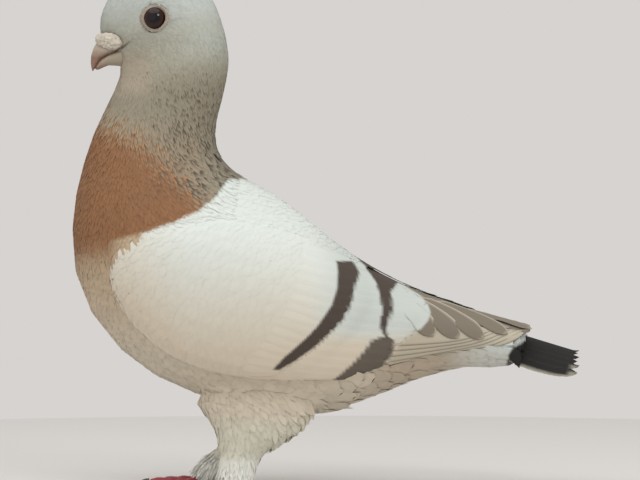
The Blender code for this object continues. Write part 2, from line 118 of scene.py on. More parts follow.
def feed(node: Node, inputs: dict) -> None:
    """Sets or links inputs of a node.

    Args:
        node: the node.
        inputs: input names or numbers, each with a value, an output socket to link, or a node whose first
            output is linked.
    """
    for key, value in inputs.items():
        if isinstance(value, Node):
            value = value.outputs[0]
        if isinstance(value, NodeSocket):
            node.id_data.links.new(value, node.inputs[key])
        else:
            node.inputs[key].default_value = value


def add(tree: NodeTree, kind: str, settings: dict | None = None, inputs: dict | None = None) -> Node:
    """Adds a node with its settings and its inputs.

    Args:
        tree: where the node goes.
        kind: the node's type.
        settings: attributes of the node to set.
        inputs: what its inputs are fed.

    Returns:
        The new node.
    """
    made = tree.nodes.new(kind)
    for name, value in (settings or {}).items():
        setattr(made, name, value)
    feed(made, inputs or {})
    return made


def unit(vectors: Array) -> Array:
    """Vectors along the last axis at length one."""
    return vectors / np.maximum(np.linalg.norm(vectors, axis=-1, keepdims=True), 1e-12)


def smooth_step(low: float, high: float, values: Array) -> Array:
    """A soft step from 0 at low to 1 at high."""
    t = np.clip((values - low) / (high - low), 0.0, 1.0)
    return t * t * (3.0 - 2.0 * t)


def along_keys(keys: tuple, places: Array) -> Array:
    """Reads a broken line of (place, value) pairs at many places."""
    table = np.array(keys, float)
    return np.interp(places, table[:, 0], table[:, 1])


def running_mean(values: Array, reach: int) -> Array:
    """Evens out a row of numbers, each with those up to a reach before and after it."""
    window = np.ones(2 * reach + 1) / (2 * reach + 1)
    return np.convolve(np.pad(values, reach, "edge"), window, "valid")


def read(rows: bpy_prop_collection, field: str, width: int, kind: type = float) -> Array:
    """Reads one field of every item of a collection.

    Args:
        rows: the collection, such as a mesh's vertices.
        field: the field's name.
        width: how many numbers it has for each item.
        kind: the type of the numbers.

    Returns:
        One row for each item, or one number where the width is 1.
    """
    values = np.empty(len(rows) * width, kind)
    rows.foreach_get(field, values)
    return values if width == 1 else values.reshape(-1, width)


def read_points(mesh: Mesh, name: str = "co") -> Array:
    """The places or normals of a mesh's vertices as rows of three."""
    return read(mesh.vertices, name, 3)


def write_attribute(mesh: Mesh, name: str, values: Array) -> None:
    """Stores a number or a vector for every vertex of a mesh.

    Args:
        mesh: the mesh.
        name: the attribute's name.
        values: one number or one row of three for each vertex.
    """
    kind, field = ("FLOAT", "value") if values.ndim == 1 else ("FLOAT_VECTOR", "vector")
    if name in mesh.attributes:
        mesh.attributes.remove(mesh.attributes[name])
    made = mesh.attributes.new(name, kind, "POINT")
    made.data.foreach_set(field, np.ascontiguousarray(values, np.float32).ravel())


def place_points(mesh: Mesh, points: Array) -> None:
    """Moves the vertices of a mesh to new places in metres."""
    mesh.vertices.foreach_set("co", points.ravel())
    mesh.update()


def new_mesh(name: str, points: Array | list, faces: Array | list) -> Mesh:
    """Makes a smooth mesh.

    Args:
        name: its name.
        points: places of the vertices in metres.
        faces: the numbers of the vertices of each face.

    Returns:
        The mesh.
    """
    mesh = bpy.data.meshes.new(name)
    mesh.from_pydata(np.asarray(points).tolist(), [], [tuple(map(int, face)) for face in faces])
    mesh.shade_smooth()
    return mesh


def face_outwards(mesh: Mesh) -> None:
    """Turns the faces of a closed mesh outwards.

    Args:
        mesh: the mesh.
    """
    work = bmesh.new()
    work.from_mesh(mesh)
    bmesh.ops.recalc_face_normals(work, faces=work.faces)
    work.to_mesh(mesh)
    work.free()


def drop_vertices(mesh: Mesh, drop: Array) -> None:
    """Deletes vertices of a mesh, and the faces that they carry.

    Args:
        mesh: the mesh.
        drop: for each vertex, whether it goes.
    """
    work = bmesh.new()
    work.from_mesh(mesh)
    bmesh.ops.delete(work, geom=[v for v in work.verts if drop[v.index]], context="VERTS")
    work.to_mesh(mesh)
    work.free()


def add_swollen(work: bmesh.types.BMesh, node: str, swell: float) -> None:
    """Adds a copy of a CAD node to a mesh, grown outwards.

    Args:
        work: the mesh that takes the copy.
        node: the CAD node.
        swell: how far the copy grows in metres.
    """
    part = bmesh.new()
    part.from_mesh(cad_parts[node].data)
    bmesh.ops.remove_doubles(part, verts=part.verts, dist=WELD)
    part.normal_update()
    for vertex in part.verts:
        vertex.co += vertex.normal * swell
    copy = bpy.data.meshes.new("copy")
    part.to_mesh(copy)
    part.free()
    work.from_mesh(copy)
    bpy.data.meshes.remove(copy)


def new_object(name: str, mesh: Mesh, material: Material | None = None) -> Object:
    """Puts a mesh into the scene, at the origin.

    Args:
        name: the object's name.
        mesh: its mesh.
        material: its one material, if it has one yet.

    Returns:
        The object.
    """
    made = bpy.data.objects.new(name, mesh)
    bpy.context.scene.collection.objects.link(made)
    if material is not None:
        mesh.materials.clear()
        mesh.materials.append(material)
    return made


def finished(piece: Object, replaces: tuple[str, ...] = ()) -> None:
    """Binds a finished piece to the frame and reports it.

    Args:
        piece: the visual piece.
        replaces: CAD nodes that it stands for.
    """
    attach(piece, "root")
    if replaces:
        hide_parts(*replaces)
    LOG.info("%s: %d faces", piece.name, len(piece.data.polygons))


def voxel_copy(source: Object, voxel: float) -> Mesh:
    """An even mesh over the closed shapes of an object.

    Args:
        source: the object to cover.
        voxel: size of a cell in millimetres.

    Returns:
        The new mesh.
    """
    remesh = source.modifiers.new("voxels", "REMESH")
    remesh.mode = "VOXEL"
    remesh.voxel_size = voxel * MM
    graph = bpy.context.evaluated_depsgraph_get()
    mesh = bpy.data.meshes.new_from_object(source.evaluated_get(graph), depsgraph=graph)
    source.modifiers.clear()
    return mesh


def evened(mesh: Mesh, values: Array, rounds: int, share: Array | float = 1.0) -> Array:
    """Evens out places or vectors over a mesh.

    Args:
        mesh: the mesh whose edges join the values.
        values: one row for each vertex.
        rounds: how often each row moves halfway to the mean of its neighbours.
        share: how much of each move a vertex makes.

    Returns:
        The evened rows.
    """
    a, b = read(mesh.edges, "vertices", 2, int).T
    count = np.bincount(np.concatenate((a, b)), minlength=len(values))[:, None]
    for _ in range(rounds):
        total = np.zeros_like(values)
        for column in range(values.shape[1]):
            total[:, column] = np.bincount(a, values[b, column], len(values))
            total[:, column] += np.bincount(b, values[a, column], len(values))
        values = values + 0.5 * share * (total / np.maximum(count, 1) - values)
    return values


# ---------------- the surface that feathers lie on
@dataclass
class LaySurface:
    """One closed surface on which feathers lie, with its labels, the lie and an unwrap."""

    name: str
    nodes: tuple[str, ...]  # the CAD nodes that it covers
    voxel: float = 1.4  # size of one of its cells
    swell: float = 0.35  # how far the nodes grow before they are merged, so that neighbours meet
    smoothing: int = 3  # rounds over all of it
    shoulder_smoothing: int = 60  # rounds where shoulder feathers bridge the step to the wing

    def __post_init__(self) -> None:
        """Merges the CAD nodes into one surface."""
        merged, self.owners = self._merge(0.0)
        self.origin = BVHTree.FromBMesh(merged)
        merged.free()
        swollen, _ = self._merge(self.swell * MM)
        source_mesh = bpy.data.meshes.new("merged")
        swollen.to_mesh(source_mesh)
        swollen.free()
        self.object = new_object(self.name, source_mesh)
        mesh = voxel_copy(self.object, self.voxel)
        self.object.data = mesh
        self._keep_largest(mesh)
        points = evened(mesh, read_points(mesh), self.smoothing)
        place_points(mesh, points)
        points = points - read_points(mesh, "normal") * self.swell * MM
        points = evened(mesh, points, self.shoulder_smoothing, self._over_shoulder(points)[:, None])
        place_points(mesh, points)
        self.points = points
        self.normals = read_points(mesh, "normal")
        self.faces = [tuple(p.vertices) for p in mesh.polygons]
        self.tree = BVHTree.FromPolygons(points.tolist(), self.faces)
        self.labels = np.array([self._label(p) for p in points])
        write_attribute(mesh, "lay_normal", self.normals)

    @staticmethod
    def _over_shoulder(points: Array) -> Array:
        """Finds where long shoulder feathers bridge the step from the back to the folded wing.

        Args:
            points: places in metres.

        Returns:
            A number from 0 to 1 for each place.
        """
        x, z = points[:, 0] / MM, points[:, 2] / MM
        fall = along_keys(((-70, 150), (-50, 142), (-20, 124), (20, 104), (60, 86)), x)
        return smooth_step(-6.0, 6.0, z - fall) * smooth_step(-56.0, -46.0, x) * smooth_step(66.0, 46.0, x)

    def _merge(self, swell: float) -> tuple[bmesh.types.BMesh, list[int]]:
        """Puts copies of the CAD nodes into one mesh.

        Args:
            swell: how far each node grows in metres.

        Returns:
            The mesh, and the node's number for each face.
        """
        work = bmesh.new()
        owners: list[int] = []
        for number, node in enumerate(self.nodes):
            add_swollen(work, node, swell)
            owners += [number] * (len(work.faces) - len(owners))
        return work, owners

    def _label(self, point: Array) -> int:
        """The number of the CAD node nearest to a point."""
        return self.owners[self.origin.find_nearest(Vector(point))[2]]

    @staticmethod
    def _keep_largest(mesh: Mesh) -> None:
        """Removes every island of a mesh but the largest.

        Args:
            mesh: the mesh to clear.
        """
        work = bmesh.new()
        work.from_mesh(mesh)
        island = np.full(len(work.verts), -1)
        number = 0
        for start in work.verts:
            if island[start.index] >= 0:
                continue
            stack = [start]
            island[start.index] = number
            while stack:
                vertex = stack.pop()
                for edge in vertex.link_edges:
                    other = edge.other_vert(vertex)
                    if island[other.index] < 0:
                        island[other.index] = number
                        stack.append(other)
            number += 1
        work.free()
        drop_vertices(mesh, island != np.bincount(island).argmax())

    def set_lie(self, body: tuple, leg: tuple, leg_nodes: tuple[str, ...]) -> None:
        """Works out the direction of the feathers' tips over the whole surface.

        Args:
            body: rows of x, z and a direction in degrees, for all but the legs.
            leg: the same for the legs.
            leg_nodes: the nodes that follow the legs' rows.
        """
        legs = np.isin(self.labels, [self.nodes.index(node) for node in leg_nodes])
        lie = np.zeros_like(self.points)
        for keys, chosen in ((body, ~legs), (leg, legs)):
            table = np.array(keys, float)
            spot = self.points[chosen][:, (0, 2)] / MM
            gap = np.linalg.norm(spot[:, None] - table[None, :, :2], axis=2) + 1.0
            weight = gap**-LIE_POWER
            turn = np.radians(table[:, 2])
            lie[chosen, 0] = (weight * np.cos(turn)).sum(1)
            lie[chosen, 2] = (weight * np.sin(turn)).sum(1)
        lie = self._flat(evened(self.object.data, self._flat(unit(lie)), 4))
        write_attribute(self.object.data, "lie", lie)

    def _flat(self, vectors: Array) -> Array:
        """Lays vectors into the surface at its vertices, at length one."""
        rise = (vectors * self.normals).sum(1, keepdims=True)
        return unit(vectors - self.normals * rise)

    def unwrap(self) -> None:
        """Unwraps the surface's own shape into the bake map."""
        mesh = self.object.data
        mesh.uv_layers.new(name=BAKE_MAP)
        bpy.ops.object.select_all(action="DESELECT")
        self.object.select_set(True)
        bpy.context.view_layer.objects.active = self.object
        bpy.ops.object.mode_set(mode="EDIT")
        bpy.ops.mesh.select_all(action="SELECT")
        bpy.ops.uv.smart_project(angle_limit=math.radians(66), island_margin=0.004)
        bpy.ops.object.mode_set(mode="OBJECT")
        self.spots = np.zeros((len(mesh.vertices), 2))
        self.spots[read(mesh.loops, "vertex_index", 1, int)] = read(mesh.uv_layers[BAKE_MAP].data, "uv", 2)

    def bake_spot(self, place: Array) -> Array:
        """The spot on the bake map that belongs to a place in metres."""
        face = self.tree.find_nearest(Vector(place))[2]
        return self.spots[self.faces[face][0]]

    def node_mask(self, *regions: Region) -> Array:
        """Tells which vertices lie nearest to the CAD nodes of some regions."""
        wanted = [i for i, node in enumerate(self.nodes) if any(r.value in node for r in regions)]
        return np.isin(self.labels, wanted)

    def patch(self, name: str, keep: Array) -> Object:
        """Copies part of the surface, for feathers to grow on.

        Args:
            name: the name of the copy.
            keep: for each vertex, whether the copy has it.

        Returns:
            The copy.
        """
        mesh = self.object.data.copy()
        mesh.name = name
        drop_vertices(mesh, ~keep)
        return new_object(name, mesh)

    def nearest(self, points: Array) -> tuple[Array, Array]:
        """Finds the nearest places on the surface.

        Args:
            points: places in metres.

        Returns:
            The nearest places, and the surface's smooth normals there.
        """
        places, normals = np.empty_like(points), np.empty_like(points)
        for row, point in enumerate(points):
            place, _, face, _ = self.tree.find_nearest(Vector(point))
            corner = list(self.faces[face])
            gap = np.linalg.norm(self.points[corner] - np.array(place), axis=1) + 1e-6
            places[row] = place
            normals[row] = (self.normals[corner] / gap[:, None]).sum(0)
        return places, unit(normals)

    def from_side(self, x: float, z: float, side: Side) -> Array:
        """Finds the outermost place on one side, or the nearest one to it.

        Args:
            x: place along the bird in metres.
            z: height in metres.
            side: which side.

        Returns:
            The place in metres.
        """
        start = Vector((x, side.value * BEYOND, z))
        hit = self.tree.ray_cast(start, Vector((0.0, -side.value, 0.0)), BEYOND)[0]
        if hit is None:
            hit = self.tree.find_nearest(Vector((x, side.value * BEYOND / 10, z)))[0]
            return np.array((x, hit[1], z))
        return np.array(hit)


# ---------------- markings, the same on skin and coat
@dataclass(frozen=True)
class Markings:
    """Where each colour of the plumage lies, in the side view of either side."""

    # x, then the height of the grey's and the white's edge
    grey_edge: tuple = ((-118, 199), (-106, 192), (-92, 183), (-79, 171), (-68, 157), (-57, 150))
    white_edge: tuple = (
        (-135, 128), (-109, 131), (-93, 135), (-77, 140.5), (-65, 146), (-57, 153), (-50, 163),
    )
    # height, then x of a bar's front and rear edges
    front_bar: tuple = ((63.8, -26.5, -23), (69.5, -22, -14), (75.3, -15, -5.5), (82.7, -7, 2.5),
                        (90, -1.3, 9.5), (98, 4, 13.6), (106, 6.6, 15.6), (114, 6.8, 18.0), (120, 6.2, 14.6))
    rear_bar: tuple = ((58, 4.0, 12.0), (61, 8, 24), (65, 12.5, 30), (72.6, 20, 35.5), (79, 24.5, 36.5),
                       (81, 31, 33), (85, 29, 32), (95, 30, 35.4), (104, 28.6, 34.9), (109, 26.6, 38.5),
                       (118, 20.5, 28), (123, 16, 19), (130, 6.0, 7.6))
    rump_edge: tuple = ((-40, 112), (0, 96), (40, 84), (100, 72))  # x, height
    # height, then x of the edge
    flight_edge: tuple = (
        (56, 20), (66, 33), (76, 38), (81, 44), (85, 50.5), (89, 54), (93, 55.4), (97, 54.2),
        (102, 50.3), (107, 42), (111, 33),
    )
    tail_edge: tuple = ((58, 97.5), (70.6, 95.8), (74.5, 98.0), (77.5, 104.5), (79, 114))
    corner: tuple = ((-107.0, 232.2), (-100.9, 236.8))  # of the gape, behind the bill
    lid_line: tuple = ((-83.1, 245.4), (-75.5, 247.2))  # behind the eye

    @staticmethod
    def _stroke(x: Array, z: Array, line: tuple, width: float) -> Array:
        """Draws a short soft line.

        Args:
            x: places along the bird in millimetres.
            z: heights in millimetres.
            line: the two ends of the line.
            width: of the line.

        Returns:
            How near each place is to the line, from 0 to 1.
        """
        start, end = np.array(line)
        way = end - start
        t = np.clip(((x - start[0]) * way[0] + (z - start[1]) * way[1]) / (way @ way), 0.0, 1.0)
        gap = np.hypot(x - start[0] - t * way[0], z - start[1] - t * way[1])
        return np.exp(-((gap / width) ** 2))

    def _bars(self, x: Array, z: Array, shift: Array) -> Array:
        """Draws the two dark bars across the wing.

        Args:
            x: places along the bird in millimetres.
            z: heights in millimetres.
            shift: how far each feather moves the bars' edges.

        Returns:
            A number from 0 to 1 for each place.
        """
        bars = np.zeros_like(x)
        for keys, softness, foot in ((self.front_bar, 0.8, 1.0), (self.rear_bar, 0.7, 0.90)):
            table = np.array(keys, float)
            front, rear = (np.interp(z, table[:, 0], table[:, column]) + shift for column in (1, 2))
            band = smooth_step(-softness, softness, x - front) * smooth_step(-softness, softness, rear - x)
            band = band * smooth_step(table[0, 0] - 0.5, table[0, 0] + 0.5, z)
            band = band * smooth_step(table[-1, 0] + 0.5, table[-1, 0] - 0.5, z)
            fade = foot + (1.0 - foot) * smooth_step(78.0, 84.0, z)  # the rear bar is paler at its foot
            bars = np.maximum(bars, band * fade)
        return bars

    def masks(self, points: Array, roots: Array, tint: Array, vane: Array, wing: Array) -> dict[str, Array]:
        """Works out how much of each marking every vertex has.

        Args:
            points: places in metres.
            roots: the places of their feathers' roots.
            tint: a random number from 0 to 1 for each feather.
            vane: places on the feather, across and along.
            wing: 1 on the wings and on the back between them.

        Returns:
            A number from 0 to 1 for each vertex, by marking.
        """
        # most markings follow whole feathers, so their place is between the vertex and its feather's root
        mixed = (roots + (points - roots) * 0.55) / MM
        x, z = mixed[:, 0], mixed[:, 2]
        own_x, own_z = points[:, 0] / MM, points[:, 2] / MM
        ragged = tint - 0.5
        across, along = np.abs(vane[:, 0]), vane[:, 1]

        # grey head, gold below it, and ochre down to the white
        over = z - along_keys(self.grey_edge, x)
        grey = smooth_step(-9.0, 8.0, over + ragged * 13.0 - (across - 0.4) * 7.0)
        grey = grey * (1.0 - 0.28 * smooth_step(204.0, 176.0, z) * smooth_step(-58.0, -70.0, x))
        golden = smooth_step(-22.0, -4.0, over) * smooth_step(13.0, 2.0, over) * smooth_step(-66.0, -90.0, x)
        breast = smooth_step(-106, -114, x)
        above = smooth_step(-0.7, 0.7, own_z - along_keys(self.white_edge, own_x) + ragged)
        faded = smooth_step(-13.0, 5.0, z - along_keys(self.white_edge, x) + ragged * 5.0)
        ochre = (1.0 - grey) * (above * (1.0 - breast) + faded * breast) * (1.0 - wing * (1.0 - above))

        # white wings, shoulders and rump, and the flight feathers
        shoulder = smooth_step(-96.0, -92.0, own_x) * smooth_step(126.0, 130.0, own_z)
        rump = smooth_step(-3.0, 3.0, own_z - along_keys(self.rump_edge, own_x))
        rump = rump * smooth_step(-44.0, -30.0, own_x)
        white = np.maximum(np.maximum(wing, shoulder) * (1.0 - above), rump)
        flight = smooth_step(-0.8, 0.8, own_x - along_keys(self.flight_edge, own_z))
        tail = smooth_step(-0.9, 0.9, own_x - along_keys(self.tail_edge, own_z) + ragged * 1.5)

        # darker hackle bases, with painted shade where gaps open between the hackles of the neck, and pale
        # streaks on them
        hackle = smooth_step(-116, -66, x) * smooth_step(232, 200, z) * smooth_step(148, 158, z)
        rear = smooth_step(-96.0, -66.0, x) * smooth_step(214.0, 186.0, z)
        deep = smooth_step(0.74, 0.84, tint + 0.12 * rear) * smooth_step(1.0, 0.5, along) * 0.9
        gaps = hackle * np.clip(deep + 0.22 * (1.0 - along), 0, 1)
        some = smooth_step(0.16, 0.20, tint) * smooth_step(0.46, 0.40, tint)
        streak = np.clip(0.35 * hackle + 0.75 * golden, 0, 1) * smooth_step(0.4, 0.9, along)
        streak = streak * some * smooth_step(0.9, 0.3, across)

        # the face
        crown = 0.5 * smooth_step(-86, -62, x) * smooth_step(222, 238, z)
        # the dark line behind the bill is a skin mark along the crease at the corner of the mouth, with the
        # crease's shade painted in
        gape = self._stroke(own_x, own_z, self.corner, 0.5) * smooth_step(-100.0, -106.0, own_x)
        marks = np.maximum(0.9 * gape, 0.22 * self._stroke(own_x, own_z, self.lid_line, 0.5))

        # painted shade within the white, with some dirt: darker and warmer lower down and towards the front;
        # a cooler, greyer white towards the rear
        shade = np.clip(smooth_step(142.0, 60.0, own_z) + 0.5 * smooth_step(-62.0, -112.0, own_x), 0, 1)
        cool = np.maximum(smooth_step(76.0, 90.0, own_z), smooth_step(50, 72, own_x))
        cool = cool * smooth_step(-12.0, 18.0, own_x)
        return {
            "throat": smooth_step(238, 222, z) * smooth_step(204, 214, z) * smooth_step(-84, -100, x),
            "crown": np.maximum(smooth_step(234, 258, z), crown),
            "head": smooth_step(208.0, 236.0, z + ragged * 4.0),
            "grey": grey,
            "ochre": np.clip(ochre, 0, 1),
            "gaps": gaps,
            "streak": streak,
            "white": np.clip(white, 0, 1),
            "bars": self._bars(own_x, own_z, ragged * 0.6) * wing,
            "flight": flight * wing,
            "low": smooth_step(128.0, 66.0, z),
            "legs": smooth_step(46.0, 30.0, z),
            "boots": smooth_step(24.0, 12.0, z),
            "vent": smooth_step(50.0, 84.0, x),
            "shade": shade * (1.0 - cool),
            "cool": cool,
            "marks": marks,
            "edge": np.maximum(smooth_step(0.74, 0.92, vane[:, 0]), 0.6 * smooth_step(0.965, 0.99, along)),
            "tail": tail,
            # painted shadow that the folded wing casts on the belly and vent
            "dusk": smooth_step(12.0, 34.0, x) * smooth_step(78.0, 62.0, x),
        }


# ---------------- finishes
def new_material(name: str, roughness: float, base: str = "#808080") -> tuple[Material, NodeTree, Node]:
    """Makes a new material with its Principled shader.

    Args:
        name: the name of the real material.
        roughness: of the shader.
        base: the base colour in sRGB hex.

    Returns:
        The material, its node tree and its shader.
    """
    made = bpy.data.materials.new(name)
    made.use_nodes = True
    shader = made.node_tree.nodes["Principled BSDF"]
    feed(shader, {"Roughness": roughness, "Base Color": linear(base)})
    return made, made.node_tree, shader


def set_stops(ramp: Node, stops: list[tuple[float, str]]) -> None:
    """Sets the stops of a colour ramp.

    Args:
        ramp: the ramp's node.
        stops: the place of each, rising from 0 to 1, and its colour in sRGB hex.
    """
    elements = ramp.color_ramp.elements
    for number, (at, paint) in enumerate(stops):
        stop = elements[number] if number < 2 else elements.new(1.0)
        stop.position = at
        stop.color = linear(paint)


@dataclass(frozen=True)
class PlumageFinish:
    """Feather keratin: matt, with barbs, markings by attribute and slight differences by feather."""

    name: str = "feather_keratin"
    ground: str = "#b59f82"
    layers: tuple = (
        # the darker buff after the lowest layer is painted shadow of the folded wing on the belly and vent
        ("low", "#c8bdaa"), ("dusk", "#b6a893"), ("legs", "#cfcdbb"), ("boots", "#e9ebe4"),
        ("vent", "#c9cbc4"), ("ochre", "#8c6240"), ("grey", "#918a78"), ("head", "#a6a596"),
        # the dark brown on the hackles' bases is partly their own colour and partly painted shade in the gaps
        # between them
        ("throat", "#a89c8a"), ("crown", "#b7bdb8"), ("gaps", "#4e4436"), ("streak", "#b8976c"),
        ("white", "#d8dfda"), ("shade", "#d4c8b4"), ("cool", "#c4cbc6"), ("flight", "#7c7365"),
        ("buff", "#b8ae99"), ("bars", "#463c33"), ("marks", "#3b2f28"), ("tail", "#161411"),
    )
    # shade is painted shade on the white, with some dirt, so it and the cooler white go only as far as the
    # white does
    only_white: tuple = ("shade", "cool")  # layers that count as far as white does
    # the flight feathers' pale fringes are their own colour; the buff outermost ones get a dark rim on the
    # edge that overlaps the next, painted shadow of that overlap
    edged: tuple = (("flight", "#d6cdbc"), ("buff", "#7a6f60"))  # layers whose feathers have edges
    edge_share: float = 0.85  # how much of its own colour an edge has
    roughness: float = 0.75  # dull, as the barbs scatter light
    variation: float = 0.07  # of the brightness from feather to feather, either way
    calm_variation: float = 0.012  # the same on white
    grain: float = 420.0  # cells of noise for each metre
    barb_depth: float = 0.05  # of the ridges that the barbs make

    def build(self) -> Material:
        """Lays the markings over the ground colour, one after the other.

        Returns:
            The material.
        """
        made, tree, shader = new_material(self.name, self.roughness)
        marks = {
            name: add(tree, "ShaderNodeAttribute", {"attribute_name": name}).outputs["Fac"]
            for name in (*dict(self.layers), "edge", "tint", "barbs")
        }
        result = add(tree, "ShaderNodeRGB").outputs[0]
        result.default_value = linear(self.ground)
        rim = add(tree, MATH, MULTIPLY, {0: marks["edge"], 1: self.edge_share})
        for layer, paint in self.layers:
            share, paint = marks[layer], linear(paint)
            if layer in self.only_white:
                share = add(tree, MATH, MULTIPLY, {0: share, 1: marks["white"]})
            if layer in dict(self.edged):
                paints = {6: paint, 7: linear(dict(self.edged)[layer])}
                paint = add(tree, "ShaderNodeMix", COLOURS, {0: rim, **paints}).outputs[2]
            result = add(tree, "ShaderNodeMix", COLOURS, {0: share, 6: result, 7: paint}).outputs[2]
        place = add(tree, "ShaderNodeTexCoord").outputs["Object"]
        grain = add(tree, "ShaderNodeTexNoise", {}, {"Vector": place, "Scale": self.grain, "Detail": 4.0})
        swing = add(tree, MATH, ADD, {0: marks["tint"], 1: grain})
        swing = add(tree, MATH, SUBTRACT, {0: swing, 1: 1.0})
        full, calm = self.variation * 2, self.calm_variation * 2
        reach = add(tree, MATH, MULTIPLY, {0: marks["white"], 1: calm - full})
        reach = add(tree, MATH, ADD, {0: reach, 1: full})
        swing = add(tree, MATH, MULTIPLY, {0: swing, 1: reach})
        value = add(tree, MATH, ADD, {0: swing, 1: 1.0})
        varied = add(tree, "ShaderNodeHueSaturation", {}, {"Value": value, "Color": result})
        wave = add(tree, MATH, SINE, {0: marks["barbs"]})
        relief = {"Strength": 0.2, "Distance": self.barb_depth * MM, "Height": wave}
        feed(shader, {"Base Color": varied, "Normal": add(tree, "ShaderNodeBump", {}, relief)})
        return made


@dataclass(frozen=True)
class HornFinish:
    """Horn of a bill: satin, changing colour with height and turning to skin at its base."""

    name: str
    colours: tuple[str, ...]
    heights: tuple[float, ...]  # in millimetres, rising
    skin: tuple[float, float, str] | None = None  # two places along the bird, and the skin's colour
    skin_roughness: float = 0.8
    roughness: float = 0.42  # worn smooth, with a soft gleam
    grain_mm: float = 2.0
    bump_mm: float = 0.08
    shake: float = 3.0  # how far the grain moves the borders between colours

    def build(self) -> Material:
        """Reads the colour from the height, and from the place along the bird where it turns to skin.

        Returns:
            The material.
        """
        made, tree, shader = new_material(self.name, self.roughness)
        place = add(tree, "ShaderNodeTexCoord").outputs["Object"]
        scale = 1.0 / (self.grain_mm * MM)
        grain = add(tree, "ShaderNodeTexNoise", {}, {"Vector": place, "Scale": scale, "Detail": 3.0})
        parts = add(tree, "ShaderNodeSeparateXYZ", {}, {0: place}).outputs
        shaken = add(tree, MATH, MULTIPLY, {0: grain, 1: self.shake * MM})
        height = add(tree, MATH, ADD, {0: parts[2], 1: shaken})
        low, high = self.heights[0] * MM, self.heights[-1] * MM
        share = add(tree, "ShaderNodeMapRange", {}, {"Value": height, "From Min": low, "From Max": high})
        ramp = add(tree, "ShaderNodeValToRGB", {}, {0: share})
        places = [(at * MM - low) / (high - low) for at in self.heights]
        set_stops(ramp, list(zip(places, self.colours)))
        result = ramp.outputs["Color"]
        if self.skin:
            start, end, paint = self.skin
            along = add(tree, MATH, ADD, {0: parts[0], 1: shaken})
            ends = {"From Min": start * MM, "From Max": end * MM}
            turned = add(tree, "ShaderNodeMapRange", {}, {"Value": along, **ends})
            paints = {6: result, 7: linear(paint)}
            result = add(tree, "ShaderNodeMix", COLOURS, {0: turned, **paints}).outputs[2]
            ends = {"To Min": self.roughness, "To Max": self.skin_roughness}
            feed(shader, {"Roughness": add(tree, "ShaderNodeMapRange", {}, {"Value": turned, **ends})})
        relief = {"Strength": 0.3, "Distance": self.bump_mm * MM, "Height": grain}
        feed(shader, {"Base Color": result, "Normal": add(tree, "ShaderNodeBump", {}, relief)})
        return made


@dataclass(frozen=True)
class PlainFinish:
    """Bare skin or claw horn: one colour clouded by a second in soft noise, and a fine bump."""

    name: str
    base: str
    second: str
    roughness: float
    grain_mm: float = 1.2
    bump_mm: float = 0.05

    def build(self) -> Material:
        """Mixes the two colours by the noise, which also raises the surface.

        Returns:
            The material.
        """
        made, tree, shader = new_material(self.name, self.roughness)
        place = add(tree, "ShaderNodeTexCoord").outputs["Object"]
        scale = 1.0 / (self.grain_mm * MM)
        grain = add(tree, "ShaderNodeTexNoise", {}, {"Vector": place, "Scale": scale, "Detail": 3.0})
        share = add(tree, "ShaderNodeMapRange", {}, {"Value": grain, "From Min": 0.35, "From Max": 0.65})
        paints = {6: linear(self.base), 7: linear(self.second)}
        mixed = add(tree, "ShaderNodeMix", COLOURS, {0: share, **paints}).outputs[2]
        relief = {"Strength": 0.5, "Distance": self.bump_mm * MM, "Height": grain}
        feed(shader, {"Base Color": mixed, "Normal": add(tree, "ShaderNodeBump", {}, relief)})
        return made


@dataclass(frozen=True)
class EyeFinish:
    """A wet eye: black pupil, dark red-brown iris and a darker rim, in rings about the eye's middle."""

    name: str = "dark_eye"
    rings: tuple[tuple[float, str], ...] = (
        (0.0, "#060303"), (0.42, "#0a0504"), (0.52, "#23100a"), (0.80, "#2e160c"), (0.95, "#100705"),
    )
    roughness: float = 0.05  # wet, so it mirrors the lights
    index: float = 1.376  # of the cornea

    def build(self, centre: Array, radius: float) -> Material:
        """Reads the colour from the distance to the eye's middle in the side view.

        Args:
            centre: of the eye in metres.
            radius: of the eye in metres.

        Returns:
            The material.
        """
        made, tree, shader = new_material(self.name, self.roughness)
        place = add(tree, "ShaderNodeTexCoord").outputs["Object"]
        gap = add(tree, VECTOR_MATH, SUBTRACT, {0: place, 1: tuple(centre)})
        flat = add(tree, VECTOR_MATH, MULTIPLY, {0: gap, 1: (1.0, 0.0, 1.0)})
        away = add(tree, VECTOR_MATH, LENGTH, {0: flat}).outputs["Value"]
        share = add(tree, MATH, DIVIDE, {0: away, 1: float(radius)})
        ramp = add(tree, "ShaderNodeValToRGB", {}, {0: share})
        set_stops(ramp, list(self.rings))
        feed(shader, {"IOR": self.index, "Base Color": ramp})
        return made


